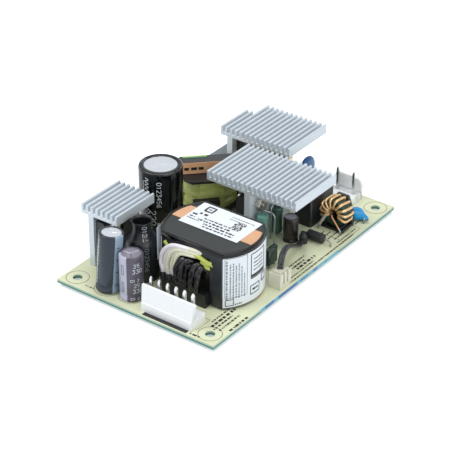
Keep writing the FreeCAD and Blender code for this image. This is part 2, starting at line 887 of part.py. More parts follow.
def build_ring_choke():
    centre_z = holder_foot + ring_core_r + touch_gap
    half = ring_core_width / 2
    core = Part.makeCylinder(ring_core_r, ring_core_width, V(0, -half, 0), V(0, 1, 0))
    core = core.cut(Part.makeCylinder(ring_bore_r, ring_core_width + 2, V(0, -half - 1, 0),
                                      V(0, 1, 0)))
    save("ring_choke_core", moved(core, ring_place, centre_z))
    turns = []
    for index in range(ring_turns):
        # spins are counted from straight down, and leave the foot of the ring bare
        spin = 90 + ring_first_turn + index * ring_turn_step
        turns.append(ring_turn(ring_bore_r, ring_core_r, ring_core_width, ring_wire, spin))
    save("ring_choke_winding", moved(joined(turns), ring_place, centre_z))

    back = half + ring_wire + touch_gap
    front = -half - ring_wire
    plate_points = [
        (-holder_half_width, 0.0),
        (holder_half_width, 0.0),
        (holder_half_width, holder_shoulder),
        (holder_half_top, holder_height),
        (-holder_half_top, holder_height),
        (-holder_half_width, holder_shoulder),
    ]
    plate = face_of([V(x, back, z) for x, z in plate_points]).extrude(V(0, holder_plate, 0))
    foot = Part.makeBox(2 * holder_half_width, back - front, holder_foot,
                        V(-holder_half_width, front, 0))
    # low cheeks keep the ring from rolling
    cheeks = []
    for side in (-1, 1):
        x = side * ring_core_r * 0.62
        rise = ring_core_r - math.sqrt(ring_core_r ** 2 - (abs(x) - 0.5) ** 2)
        cheeks.append(block(1.0, ring_core_width, holder_foot, holder_foot + rise, (x, 0.0)))
    holder = joined([plate, foot] + cheeks)
    save("ring_choke_holder", moved(holder, ring_place))
    return centre_z


def build_filter_choke():
    # a ring on edge with two separate windings, one at each side
    outer = filter_choke_r
    inner = filter_choke_bore_r
    half = filter_choke_width / 2
    thick = filter_choke_winding
    level = outer + thick + touch_gap
    core = Part.makeCylinder(outer, filter_choke_width, V(0, -half, 0), V(0, 1, 0))
    core = core.cut(Part.makeCylinder(inner, filter_choke_width + 2, V(0, -half - 1, 0),
                                      V(0, 1, 0)))
    ribs = []
    for side in (0, 180):
        count = int(filter_choke_span / filter_choke_rib)
        for index in range(count):
            spin = side + (index - (count - 1) / 2) * filter_choke_rib
            ribs.append(ring_turn(inner, outer, filter_choke_width, thick, spin))
    save("filter_choke_core", moved(core, filter_choke_place, level))
    save("filter_choke_winding", moved(joined(ribs), filter_choke_place, level))


# Connectors


def header(contacts, missing):
    # a moulded base with one latch wall, which leans back and widens to its top
    length = (contacts - 1) * contact_pitch + 2 * header_end
    base = Part.makeBox(length, header_depth, header_base, V(0, 0, 0))
    lean = header_wall_lean
    flare = header_wall_flare
    low = Part.makePolygon([V(0, 0, 0), V(length, 0, 0), V(length, header_wall, 0),
                            V(0, header_wall, 0), V(0, 0, 0)])
    high = Part.makePolygon([V(-flare, lean, header_wall_height),
                             V(length + flare, lean, header_wall_height),
                             V(length + flare, lean + header_wall, header_wall_height),
                             V(-flare, lean + header_wall, header_wall_height),
                             V(-flare, lean, header_wall_height)])
    wall = Part.makeLoft([low, high], True)
    whole = joined([base, wall])
    pins = []
    for index in range(contacts):
        if index in missing:
            continue
        spot = (header_end + index * contact_pitch, contact_inset)
        side = contact_square + 2 * touch_gap
        whole = whole.cut(block(side, side, -1, header_base + 1, spot))
        pins.append(spot)
    return whole, pins


def contact_pin(place):
    # a square contact with a tapered tip, down to the underside of the board
    half = contact_square / 2
    fine = contact_tip / 2
    waist = contact_top - contact_taper
    shank = block(contact_square, contact_square, -board_thickness, waist, place)
    turns = ((-1, -1), (1, -1), (1, 1), (-1, 1), (-1, -1))
    tip_low = [V(place[0] + x * half, place[1] + y * half, waist) for x, y in turns]
    tip_high = [V(place[0] + x * fine, place[1] + y * fine, contact_top) for x, y in turns]
    tip = Part.makeLoft([Part.makePolygon(tip_low), Part.makePolygon(tip_high)], True)
    return joined([shank, tip])


def build_headers():
    hole_r = contact_square / math.sqrt(2)
    housing, spots = header(output_contacts, ())
    corner = (output_header_left, header_edge_inset)
    save("output_header", moved(housing, corner))
    pins = []
    for spot in spots:
        place = (corner[0] + spot[0], corner[1] + spot[1])
        pins.append(moved(contact_pin((0.0, 0.0)), place))
        drill(place, hole_r)
    save("output_contacts", Part.makeCompound(pins))

    housing, spots = header(mains_contacts, (1,))
    length = (mains_contacts - 1) * contact_pitch + 2 * header_end
    housing.rotate(V(0, 0, 0), UP, 180)
    corner = (mains_header_left + length, board_length - header_edge_inset)
    save("mains_header", moved(housing, corner))
    pins = []
    for spot in spots:
        place = (corner[0] - spot[0], corner[1] - spot[1])
        pins.append(moved(contact_pin((0.0, 0.0)), place))
        drill(place, hole_r)
    save("mains_contacts", Part.makeCompound(pins))


def build_signal_connector():
    wall = signal_wall
    shell = block(signal_width, signal_length, 0.0, signal_height)
    cavity = block(signal_width - 2 * wall, signal_length - 2 * wall, signal_floor,
                   signal_height + 1)
    shell = shell.cut(cavity)
    # two slots in the wall that faces the board's edge guide the plug's ribs
    for side in (-1, 1):
        shell = shell.cut(block(2 * wall + 1, 0.9, signal_floor, signal_height + 1,
                                (signal_width / 2, side * signal_contact_pitch / 2)))
    pins = []
    for side in (-1, 1):
        spot = (signal_place[0], signal_place[1] + side * signal_contact_pitch / 2)
        pins.append(through_lead(spot, resistor_lead_r, signal_floor / 2))
    save("signal_header", joined([moved(shell, signal_place)] + pins))

    plug_top = signal_height + signal_plug_rise
    plug_width = signal_width - 2 * wall - 2 * touch_gap
    plug_length = signal_length - 2 * wall - 2 * touch_gap
    plug = block(plug_width, plug_length, signal_floor + touch_gap, plug_top)
    save("signal_plug", moved(plug, signal_place))
    return plug_top


def build_signal_pair(plug_top):
    # two insulated wires run side by side from the plug to a bead sensor on the board
    offset = pair_wire_r + pair_gap
    wires = []
    for side in (-1, 1):
        shift = V(side * offset * 0.82, side * offset * 0.57, 0)
        points = [
            at(signal_place, plug_top) + shift,
            at(signal_place, plug_top + 2.4) + shift,
        ]
        points += [at((x, y), plug_top + rise) + shift for x, y, rise in pair_route]
        points += [
            at(pair_landing, pair_low) + shift,
            at((bead_place[0], bead_place[1] - bead_r - 0.5), pair_low) + shift,
        ]
        wires.append(lead(points, pair_wire_r, pair_bend))
    save("signal_pair", Part.makeCompound(wires))

    bead = turned([(0.0, 0.0), (bead_r, 0.0), (bead_r, bead_height - bead_tip_height),
                   (bead_tip_r, bead_height), (0.0, bead_height)])
    pins = []
    for side in (-1, 1):
        spot = (bead_place[0] + side * bead_lead_spacing / 2, bead_place[1])
        pins.append(through_lead(spot, resistor_lead_r, bead_height / 3))
    save("bead_sensor", joined([moved(bead, bead_place)] + pins))


# Small parts; their bare leads are gathered in one group


def upright_resistor(name, place, foot, length):
    radius = resistor_r
    low = resistor_stand_off
    high = low + length
    dome = resistor_dome
    body = turned([(0.0, low), (radius - dome, low), (radius, low + dome),
                   (radius, high - dome), (radius - dome, high), (0.0, high)])
    save(name, moved(body, place))
    drill(place, resistor_lead_r)
    drill(foot, resistor_lead_r)
    bottom = Part.makeCylinder(resistor_lead_r, low + board_thickness,
                               at(place, -board_thickness))
    rise = high + resistor_lead_rise
    loop = lead([at(place, high), at(place, rise), at(foot, rise), at(foot, -board_thickness)],
                resistor_lead_r, resistor_lead_rise)
    return [bottom, loop]


def build_small_parts(ring_level):
    leads = []
    leads += upright_resistor("snubber_resistor", snubber_place, snubber_foot,
                              snubber_length)
    leads += upright_resistor("bleed_resistor", bleed_place, bleed_foot, bleed_length)

    level = diode_r + diode_lift
    start = at((diode_place[0] - diode_length / 2, diode_place[1]), level)
    body = Part.makeCylinder(diode_r, diode_length, start, V(1, 0, 0))
    rims = [edge for edge in body.Edges if edge.isClosed()]
    save("barrel_diode", body.makeChamfer(diode_r / 5, rims))
    for side in (-1, 1):
        face = (diode_place[0] + side * diode_length / 2, diode_place[1])
        foot = (diode_place[0] + side * diode_span / 2, diode_place[1])
        drill(foot, resistor_lead_r)
        leads.append(lead([at(face, level), at(foot, level), at(foot, -board_thickness)],
                          resistor_lead_r, 1.2))

    # ring choke leads: one slants to the left, one drops at the front right
    front = ring_place[1] - ring_core_width / 2 - ring_wire
    for start_x, foot in ((-2.2, (60.4, 93.4)), (0.4, (70.3, 94.6))):
        bend = (ring_place[0] + start_x, front - 0.9)
        drill(foot, resistor_lead_r)
        points = [
            at((ring_place[0] + start_x, front), ring_level),
            at(bend, ring_level),
            at(foot, 0.9),
            at(foot, -board_thickness),
        ]
        leads.append(lead(points, resistor_lead_r, 0.8))

    # boxed film capacitors; the black one fills the room in front of the mains header
    line_back = board_length - header_edge_inset - header_depth - line_capacitor_gap
    line_length = line_back - line_capacitor_front
    line_size = (line_capacitor_width, line_length, line_capacitor_height)
    line_place = (line_capacitor_middle, line_capacitor_front + line_length / 2)
    for name, size, place in (("line_capacitor", line_size, line_place),
                              ("film_capacitor", film_capacitor_size, film_capacitor_place)):
        box = block(size[0], size[1], 0.0, size[2])
        tops = [edge for edge in box.Edges if edge.CenterOfMass.z > size[2] / 3]
        box = box.makeChamfer(box_edge, tops)
        pins = []
        for side in (-1, 1):
            spot = (place[0], place[1] + side * (size[1] / 2 - box_lead_inset))
            pins.append(through_lead(spot, capacitor_lead_r, 1.0))
        save(name, joined([moved(box, place)] + pins))

    # the small disc lies over on its leads, which reach the board near its edge
    rim_low = (disc_thickness - disc_rim) / 2
    dish = turned([(0.0, 0.0), (disc_face_r, 0.0), (disc_r, rim_low),
                   (disc_r, rim_low + disc_rim), (disc_face_r, disc_thickness),
                   (0.0, disc_thickness)])
    reach = disc_skirt
    cone = Part.makeCone(disc_skirt_r, disc_tip_r, reach, V(0, 0, disc_thickness / 2),
                         V(1, 0, 0))
    dish = joined([dish, cone])
    dish.rotate(V(0, 0, 0), V(0, 1, 0), disc_dip)
    save("disc_capacitor", moved(dish, disc_place, disc_lift))
    dip = math.radians(disc_dip)
    tip_z = disc_lift + disc_thickness / 2 * math.cos(dip) - reach * math.sin(dip)
    for side in (-1, 1):
        foot = (disc_foot, disc_place[1] + side * disc_lead_spacing / 2)
        beside = (disc_foot, disc_place[1] + side * touch_gap / 2)
        drill(foot, resistor_lead_r)
        leads.append(lead([at(beside, tip_z), at(foot, tip_z), at(foot, -board_thickness)],
                          resistor_lead_r, 0.5))

    # the varistor stands across the mains lines
    puck = Part.makeCylinder(varistor_r, varistor_thickness, V(-varistor_thickness / 2, 0, 0),
                             V(1, 0, 0))
    rims = [edge for edge in puck.Edges if edge.isClosed()]
    puck = puck.makeChamfer(varistor_thickness / 3.5, rims)
    centre = varistor_lift + varistor_r
    save("varistor", moved(puck, varistor_place, centre))
    for side in (-1, 1):
        foot = (varistor_place[0], varistor_place[1] + side * varistor_lead_spacing / 2)
        drill(foot, capacitor_lead_r)
        stub = Part.makeCylinder(capacitor_lead_r, centre + board_thickness,
                                 at(foot, -board_thickness))
        leads.append(stub.cut(moved(puck, varistor_place, centre)))

    # dipped film capacitor beside the main transformer
    dipped = block(dipped_size[0], dipped_size[1], dipped_lift,
                   dipped_lift + dipped_size[2])
    dipped = dipped.makeChamfer(dipped_size[0] / 3, dipped.Edges)
    save("dipped_capacitor", moved(dipped, dipped_place))
    for side in (-1, 1):
        foot = (dipped_place[0], dipped_place[1] + side * dipped_lead_spacing / 2)
        drill(foot, resistor_lead_r)
        leads.append(Part.makeCylinder(resistor_lead_r, dipped_lift + board_thickness,
                                       at(foot, -board_thickness)))

    # radial fuse
    fuse = block(fuse_size[0], fuse_size[1], 0.0, fuse_size[2])
    uprights = [edge for edge in fuse.Edges if edge.Length > fuse_size[2] - 0.01
                and abs(edge.tangentAt(edge.FirstParameter).z) > 0.9]
    fuse = fuse.makeChamfer(fuse_size[0] / 4, uprights)
    pins = []
    for side in (-1, 1):
        spot = (fuse_place[0], fuse_place[1] + side * fuse_lead_spacing / 2)
        pins.append(through_lead(spot, capacitor_lead_r, 1.0))
    save("fuse", joined([moved(fuse, fuse_place)] + pins))

    # choke leads of the mains filter reach the board below each winding
    for side_x in (-1, 1):
        for side_y in (-1, 1):
            foot = (filter_choke_place[0] + side_x * filter_choke_lead_x,
                    filter_choke_place[1] + side_y * (filter_choke_width / 2 + touch_gap
                                                      + filter_choke_winding
                                                      + capacitor_lead_r))
            drill(foot, capacitor_lead_r)
            reach = filter_choke_lead_top + board_thickness
            stub = Part.makeCylinder(capacitor_lead_r, reach, at(foot, -board_thickness))
            leads.append(stub)
    return leads


def build_couplers():
    bodies = []
    shoulder = coupler_shoulder
    for place in coupler_places:
        body = block(coupler_size[0], coupler_size[1], coupler_lift,
                     coupler_lift + coupler_size[2])
        legs = []
        for side_x in (-1, 1):
            for side_y in (-1, 1):
                spot = (side_x * coupler_foot_width / 2, side_y * device_lead_pitch / 2)
                legs.append(block(coupler_leg, coupler_leg, -board_thickness, shoulder,
                                  spot))
                arm_x = side_x * (coupler_foot_width / 2 + coupler_size[0] / 2) / 2
                arm = (coupler_foot_width - coupler_size[0]) / 2 + coupler_leg
                legs.append(block(arm, coupler_leg, shoulder - coupler_leg, shoulder,
                                  (arm_x, spot[1])))
                drill((place[0] + spot[0], place[1] + spot[1]), coupler_hole_r)
        bodies.append(moved(joined([body] + legs), place))
    save("optocouplers", Part.makeCompound(bodies))


# Board, its solder joints and the flat parts under it


def build_board():
    board = Part.makeBox(board_width, board_length, board_thickness,
                         V(-board_width / 2, -board_length / 2, 0))
    tools = []
    for side_x in (-1, 1):
        for side_y in (-1, 1):
            spot = (side_x * mount_spacing_x / 2, side_y * mount_spacing_y / 2)
            tools.append(rod(mount_hole_r, -1, board_thickness + 1, spot))
    for x, y, radius in drilled:
        spot = (x - board_width / 2, y - board_length / 2)
        tools.append(rod(radius + lead_clearance, -1, board_thickness + 1, spot))
    save("circuit_board", board.cut(Part.makeCompound(tools)))

    joints = []
    for x, y, radius in drilled:
        skirt = max(solder_r, radius + lead_clearance + 0.45)
        tip = max(solder_tip_r, radius * 0.8)
        cone = turned([(0.0, 0.0), (skirt, 0.0), (tip, -solder_height * 0.75),
                       (tip, -solder_height), (0.0, -solder_height)])
        cone.translate(V(x - board_width / 2, y - board_length / 2, 0))
        joints.append(cone)
    save("solder_joints", Part.makeCompound(joints))


def build_underside():
    chips = []
    for column in chip_columns:
        for row in chip_rows:
            middle = (column + chip_size[0] / 2, row + chip_size[1] / 2)
            near = min(math.hypot(x - middle[0], y - middle[1]) for x, y, radius in drilled)
            if near < chip_clearance:
                continue
            corner = at((column, row))
            chips.append(Part.makeBox(chip_size[0], chip_size[1], chip_size[2],
                                      V(corner.x, corner.y, -chip_size[2])))
    save("chip_parts", Part.makeCompound(chips))
    width, length, thick = controller_size
    spot = at(controller_place)
    body = block(width, length, -thick, -0.1, (spot.x, spot.y))
    feet = []
    for side in (-1, 1):
        for index in range(controller_feet):
            along = (index - (controller_feet - 1) / 2) * controller_foot_pitch
            feet.append(block(controller_foot[1] + 0.6, controller_foot[0],
                              -controller_foot[2] * 2, 0.0,
                              (spot.x + side * (width / 2 + controller_foot[1] / 2 - 0.2),
                               spot.y + along)))
    save("controller_chip", joined([body] + feet))


os.makedirs("parts", exist_ok=True)
build_heatsinks()
electrolytic("bulk_capacitor", bulk_capacitor_place, bulk_capacitor_diameter,
             bulk_capacitor_height, bulk_sleeve_lip)
electrolytic("output_capacitor", output_capacitor_place, output_capacitor_diameter,
             output_capacitor_height, sleeve_lip, output_capacitor_lean,
             output_capacitor_lean_towards)
electrolytic("short_capacitor", short_capacitor_place, short_capacitor_diameter,
             short_capacitor_height)
electrolytic("supply_capacitor", supply_capacitor_place, supply_capacitor_diameter,
             supply_capacitor_height)
build_filter_capacitor()
core_top, wound = build_transformer()
build_transformer_wraps(core_top)
build_transformer_leads()
build_boost_choke()
ring_level = build_ring_choke()
build_filter_choke()
build_headers()
build_signal_pair(build_signal_connector())
save("bare_leads", Part.makeCompound(build_small_parts(ring_level)))
build_couplers()
build_underside()
build_board()
print(len(exported), "pieces,", len(drilled), "holes for leads")
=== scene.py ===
"""Looks of an open frame power supply: one board with heatsinks, capacitors and wound parts.

Shapes are drawn in millimetres and end in metres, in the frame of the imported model.
"""
import random
from math import asin, atan2, ceil, copysign, cos, exp, hypot, pi, radians, sin

import bmesh
import bpy
from mathutils import Matrix, Vector


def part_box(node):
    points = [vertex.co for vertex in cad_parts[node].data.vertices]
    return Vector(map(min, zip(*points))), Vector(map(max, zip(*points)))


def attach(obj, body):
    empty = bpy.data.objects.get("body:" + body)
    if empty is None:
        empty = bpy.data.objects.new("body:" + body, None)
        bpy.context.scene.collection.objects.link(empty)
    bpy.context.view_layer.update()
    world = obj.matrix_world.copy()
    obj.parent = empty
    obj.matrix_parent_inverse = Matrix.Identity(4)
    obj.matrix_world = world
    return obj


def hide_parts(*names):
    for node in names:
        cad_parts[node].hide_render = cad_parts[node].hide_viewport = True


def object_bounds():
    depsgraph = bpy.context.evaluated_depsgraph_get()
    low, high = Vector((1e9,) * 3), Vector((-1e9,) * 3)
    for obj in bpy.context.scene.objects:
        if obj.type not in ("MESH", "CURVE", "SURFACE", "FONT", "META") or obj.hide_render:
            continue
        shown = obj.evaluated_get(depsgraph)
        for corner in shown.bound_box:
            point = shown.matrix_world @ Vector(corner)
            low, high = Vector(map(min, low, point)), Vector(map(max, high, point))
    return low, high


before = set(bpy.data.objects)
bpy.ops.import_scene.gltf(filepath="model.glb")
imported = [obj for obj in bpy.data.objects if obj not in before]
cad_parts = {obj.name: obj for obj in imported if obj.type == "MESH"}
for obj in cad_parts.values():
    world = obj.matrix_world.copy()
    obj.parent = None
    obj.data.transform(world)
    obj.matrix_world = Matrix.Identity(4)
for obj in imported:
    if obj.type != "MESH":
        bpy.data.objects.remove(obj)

MM = 0.001
scene = bpy.context.scene
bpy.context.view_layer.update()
BOARD_LOW, BOARD_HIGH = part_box("circuit_board")
LEFT, FRONT = BOARD_LOW.x / MM, BOARD_LOW.y / MM
RIGHT, TOP = BOARD_HIGH.x / MM, BOARD_HIGH.z / MM

# Camera, fitted to the photograph by the board's corners and its tall parts
CAMERA_AZIMUTH = 36.249
CAMERA_ELEVATION = 31.111
CAMERA_ROLL = 0.323
CAMERA_LENS = 134.27
CAMERA_DISTANCE = 675.41
CAMERA_TARGET = (38.1, 63.5, 10.0)
CAMERA_SHIFT = (-2.756, -1.978)


def place(along, back, above=0.0):
    """A point over the board's top, from a place on the board drawing, in metres."""
    return Vector((BOARD_LOW.x + along * MM, BOARD_LOW.y + back * MM,
                   BOARD_HIGH.z + above * MM))


def size_of(node):
    """A node's middle, its size in millimetres and the middle of its underside."""
    low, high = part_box(node)
    middle = (low + high) / 2
    return middle, (high - low) / MM, Vector((middle.x, middle.y, low.z))


# Shapes: points in millimetres and faces


def skin(rings, loop=False):
    """A skin through closed rings of points, with its ends filled or joined in a loop."""
    count, rows = len(rings[0]), len(rings)
    faces = []
    for row in range(rows if loop else rows - 1):
        here, there = row * count, (row + 1) % rows * count
        for i in range(count):
            j = (i + 1) % count
            faces.append((here + i, here + j, there + j, there + i))
    if not loop:
        faces.append(tuple(reversed(range(count))))
        faces.append(tuple(range((rows - 1) * count, rows * count)))
    return [point for ring in rings for point in ring], faces


def together(shapes):
    """Several shapes as one."""
    points, faces = [], []
    for more, skins in shapes:
        start = len(points)
        points += more
        faces += [tuple(i + start for i in face) for face in skins]
    return points, faces


def shifted(shape, matrix):
    return [matrix @ point for point in shape[0]], shape[1]


def at(x, y, z):
    return Matrix.Translation((x, y, z))


def swung(degrees, axis="Z"):
    return Matrix.Rotation(radians(degrees), 4, axis)


def polar(reach, angle):
    return reach * cos(angle), reach * sin(angle)


def turned(profile, steps=64, loop=False):
    """A turned solid about its own upright axis, from radius and height."""
    angles = [2 * pi * step / steps for step in range(steps)]
    return skin([[Vector((*polar(r, a), z)) for a in angles] for r, z in profile], loop)


def quarter(middle_r, middle_z, radius, start, steps=5):
    """A quarter round of a profile, from an angle in degrees."""
    arc = [polar(radius, radians(start + 90 * i / steps)) for i in range(steps + 1)]
    return [(middle_r + r, middle_z + z) for r, z in arc]


def inset(outline, depth):
    """An outline drawn in by a depth, for one that runs anticlockwise."""
    drawn = []
    for i, here in enumerate(outline):
        before = (here - outline[i - 1]).normalized()
        after = (outline[(i + 1) % len(outline)] - here).normalized()
        inward = Vector((-before.y - after.y, before.x + after.x)).normalized()
        slant = inward.dot(Vector((-before.y, before.x)))
        drawn.append(here + inward * depth / max(slant, 0.4))
    return drawn


def route(points, detail=8):
    """The run of a lead that is held at both ends, through its control points."""
    curve = bpy.data.curves.new("route", "CURVE")
    curve.dimensions = "3D"
    curve.resolution_u = detail
    spline = curve.splines.new("NURBS")
    spline.points.add(len(points) - 1)
    for control, point in zip(spline.points, points):
        control.co = (*point, 1)
    spline.order_u = 3
    spline.use_endpoint_u = True
    holder = bpy.data.objects.new("route", curve)
    mesh = bpy.data.meshes.new_from_object(holder)
    run = [vertex.co.copy() for vertex in mesh.vertices]
    bpy.data.meshes.remove(mesh)
    bpy.data.objects.remove(holder)
    bpy.data.curves.remove(curve)
    return run


def held(points):
    """A lead's run through places on the board drawing, in millimetres of the frame."""
    return route([place(*point) / MM for point in points])


def even(run, step):
    """The same run with its points a step apart."""
    spaced = [run[0]]
    left = step
    for start, end in zip(run, run[1:]):
        length = (end - start).length
        while length > 0 and left <= length:
            spaced.append(start.lerp(end, left / length))
            left += step
        left -= length
    spaced.append(run[-1])
    return spaced


def heading(run, i):
    """The way a run goes at one of its points."""
    return run[min(i + 1, len(run) - 1)] - run[max(i - 1, 0)]


def tube(run, radius, sides=10, relief=None):
    """A round skin along a run; relief gives a share of the radius by angle and length."""
    rings = []
    length = 0.0
    across = None
    for i, here in enumerate(run):
        along = heading(run, i).normalized()
        if across is None:
            across = along.orthogonal().normalized()
        across = (across - along * across.dot(along)).normalized()
        other = along.cross(across)
        length += (here - run[max(i - 1, 0)]).length
        ring = []
        for side in range(sides):
            angle = 2 * pi * side / sides
            reach = radius * (relief(angle, length) if relief else 1.0)
            ring.append(here + (across * cos(angle) + other * sin(angle)) * reach)
        rings.append(ring)
    return skin(rings)


# Marks: strokes of points and a width, drawn flat


def ink(strokes, lay, thick=0.03, fine=1.0):
    """Lays marks on a surface: lay gives the point for x, y and a rise."""
    drawn = []
    for points, width in strokes:
        line = [Vector(points[0])]
        for end in points[1:]:
            start, end = line[-1].copy(), Vector(end)
            parts = max(1, ceil((end - start).length / fine))
            line += [start.lerp(end, (i + 1) / parts) for i in range(parts)]
        rings = []
        for i, here in enumerate(line):
            ahead = heading(line, i)
            side = Vector((-ahead.y, ahead.x)).normalized() * width / 2
            a, b = here + side, here - side
            rings.append([lay(a.x, a.y, 0.0), lay(b.x, b.y, 0.0),
                          lay(b.x, b.y, thick), lay(a.x, a.y, thick)])
        drawn.append(skin(rings))
    return together(drawn)


# The figures 0 to 6, each as one line on a grid of 4 by 6
FIGURES = (
    ((1, 0), (3, 0), (4, 1.5), (4, 4.5), (3, 6), (1, 6), (0, 4.5), (0, 1.5), (1, 0)),
    ((0.8, 4.6), (2.2, 6), (2.2, 0)),
    ((0, 5), (1, 6), (3, 6), (4, 5), (4, 4), (0, 0), (4, 0)),
    ((0, 6), (4, 6), (2, 3.6), (3.4, 3), (4, 1.6), (3, 0), (1, 0), (0, 1)),
    ((3, 0), (3, 6), (0, 2), (4, 2)),
    ((4, 6), (0.3, 6), (0, 3.4), (2.8, 3.6), (4, 2.4), (3.6, 0.6), (2, 0), (0, 0.6)),
    ((3.6, 6), (1, 4.4), (0, 2), (1, 0), (3, 0), (4, 1.4), (3, 3), (0.4, 2.6)),
)
FIGURE_PITCH = 5.6
# The lengths and gaps of the bars of small print, as shares of their height
BAR_LENGTHS = (0.5, 2.2)
BAR_GAPS = (0.35, 0.9)


def number(text, x, y, height, turn=0.0, weight=0.16):
    """Plain figures from their lower left corner, turned by an angle in degrees."""
    scale = height / 6
    swing = Matrix.Rotation(radians(turn), 2)
    strokes = []
    for i, figure in enumerate(text):
        points = [swing @ Vector(((px + i * FIGURE_PITCH) * scale, py * scale))
                  for px, py in FIGURES[int(figure)]]
        strokes.append(([(x + p.x, y + p.y) for p in points], weight * height))
    return strokes


def bars(rows, turn=0.0):
    """Small print, kept generic: rows of short uneven bars, by x, y, length, height and seed."""
    way = Vector(polar(1.0, radians(turn)))
    strokes = []
    for x, y, length, height, seed in rows:
        chance = random.Random(seed)
        gone = 0.0
        while gone < length:
            run = min(length - gone, height * chance.uniform(*BAR_LENGTHS))
            start = Vector((x, y)) + way * gone
            strokes.append(([tuple(start), tuple(start + way * run)], height))
            gone += run + height * chance.uniform(*BAR_GAPS)
    return strokes


def ring_mark(x, y, radius, width, steps=40):
    spots = [polar(radius, 2 * pi * i / steps) for i in range(steps + 1)]
    return [([(x + across, y + up) for across, up in spots], width)]


def frame_mark(x, y, across, up, width):
    return [([(x, y), (x + across, y), (x + across, y + up), (x, y + up), (x, y)], width)]


# Materials

GLOSS_SPREAD = 0.06
RELIEF_STRENGTH = 0.6


def colour(code):
    """An sRGB hex value as linear red, green, blue and alpha."""
    parts = [int(code[i:i + 2], 16) / 255 for i in (1, 3, 5)]
    return tuple(c / 12.92 if c <= 0.04045 else ((c + 0.055) / 1.055) ** 2.4
                 for c in parts) + (1.0,)


def add(tree, kind, parts=()):
    """Adds one node with its settings and links; a node stands for its first output."""
    node = tree.nodes.new("ShaderNode" + kind)
    for key, value in dict(parts).items():
        if isinstance(value, bpy.types.Node):
            value = value.outputs[0]
        if isinstance(value, bpy.types.NodeSocket):
            tree.links.new(value, node.inputs[key])
        elif isinstance(key, str) and hasattr(node, key):
            setattr(node, key, value)
        else:
            node.inputs[key].default_value = value
    return node


def cleared(owner):
    """The emptied node tree of a material or a world."""
    owner.use_nodes = True
    owner.node_tree.nodes.clear()
    return owner.node_tree


def finish(name, light, dark, roughness, grain, depth=0.02, stretch=(1, 1, 1), patch=None,
           metallic=0.0, specular=0.5, coat=0.0, milk=0.0):
    """Most finishes: two close colours, a fine relief and a gloss that wanders.

    Grain is the size of the relief in millimetres, depth its height, stretch how far it
    is drawn out along each axis, and patch the size of the colour patches.
    """
    made = bpy.data.materials.new(name)
    tree = cleared(made)
    spot = add(tree, "TexCoord").outputs["Object"]
    scaled = add(tree, "Mapping", {"Vector": spot, "Scale": [1000 / s for s in stretch]})
    fine = add(tree, "TexNoise", {"Vector": scaled, "Scale": 1 / grain, "Detail": 3.0})
    broad = add(tree, "TexNoise", {"Vector": scaled, "Scale": 1 / (patch or grain * 6),
                                   "Detail": 2.0})
    tone = add(tree, "Mix", {"data_type": "RGBA", 0: broad, 6: colour(dark), 7: colour(light)})
    gloss = add(tree, "MapRange", {"Value": fine, "To Min": max(0.02, roughness - GLOSS_SPREAD),
                                   "To Max": min(1.0, roughness + GLOSS_SPREAD)})
    relief = add(tree, "Bump", {"Height": fine, "Strength": RELIEF_STRENGTH,
                                "Distance": depth * MM})
    surface = add(tree, "BsdfPrincipled", {
        "Base Color": tone.outputs[2], "Roughness": gloss, "Normal": relief,
        "Metallic": metallic, "Specular IOR Level": specular, "Coat Weight": coat,
        "Subsurface Weight": milk, "Subsurface Radius": (1, 1, 1), "Subsurface Scale": 0.002})
    add(tree, "OutputMaterial", {"Surface": surface})
    return made


def node_of(tree, kind):
    return next(node for node in tree.nodes if node.bl_idname == "ShaderNode" + kind)


def second_finish(made, tint, roughness, metallic, **spans):
    """Lays a plain finish over the part of a first one that lies within spans of X, Y or Z."""
    tree = made.node_tree
    out = node_of(tree, "OutputMaterial").inputs["Surface"]
    spot = add(tree, "TexCoord").outputs["Object"]
    axes = add(tree, "SeparateXYZ", {"Vector": spot})
    inside = 1.0
    for axis, span in spans.items():
        for test, level in zip(("GREATER_THAN", "LESS_THAN"), span):
            passed = add(tree, "Math", {"operation": test, 0: axes.outputs[axis],
                                        1: level * MM})
            inside = add(tree, "Math", {"operation": "MULTIPLY", 0: inside, 1: passed})
    other = add(tree, "BsdfPrincipled", {"Base Color": colour(tint), "Roughness": roughness,
                                         "Metallic": metallic})
    both = add(tree, "MixShader", {0: inside, 1: out.links[0].from_socket, 2: other})
    tree.links.new(both.outputs[0], out)


def striped(made, tint, middle, half):
    """A printed stripe down a sleeve, by the angle about its own axis, in degrees."""
    tree = made.node_tree
    spot = add(tree, "TexCoord").outputs["Object"]
    side = add(tree, "VectorRotate", {"rotation_type": "Z_AXIS", "Vector": spot,
                                      "Angle": -radians(middle)})
    axes = add(tree, "SeparateXYZ", {"Vector": side})
    angle = add(tree, "Math", {"operation": "ARCTAN2", 0: axes.outputs[1], 1: axes.outputs[0]})
    away = add(tree, "Math", {"operation": "ABSOLUTE", 0: angle})
    inside = add(tree, "Math", {"operation": "LESS_THAN", 0: away, 1: radians(half)})
    tone = add(tree, "Mix", {"data_type": "RGBA", 0: inside, 6: node_of(tree, "Mix").outputs[2],
                             7: colour(tint)})
    tree.links.new(tone.outputs[2], node_of(tree, "BsdfPrincipled").inputs["Base Color"])


# Extruded aluminium: die lines run along the fins and stretch the highlights
aluminium = finish("extruded_aluminium", "#D6DEE4", "#C6CFD7", 0.42, 0.35, 0.012,
                   stretch=(1, 40, 1), metallic=0.25)
# Drawn aluminium of the cans: brighter and smoother
can_metal = finish("drawn_aluminium", "#D9DEE4", "#C8CED6", 0.34, 0.5, 0.006, metallic=1.0)
# The small cans are duller, with a grey film over the metal
can_dull = finish("drawn_aluminium_dull", "#9C99A6", "#7B7886", 0.34, 0.7, 0.03, metallic=0.5)
# Nickel plated steel of screws and nuts
nickel = finish("nickel_plated_steel", "#C9C6BE", "#B2AFA8", 0.28, 0.2, 0.004, metallic=1.0)
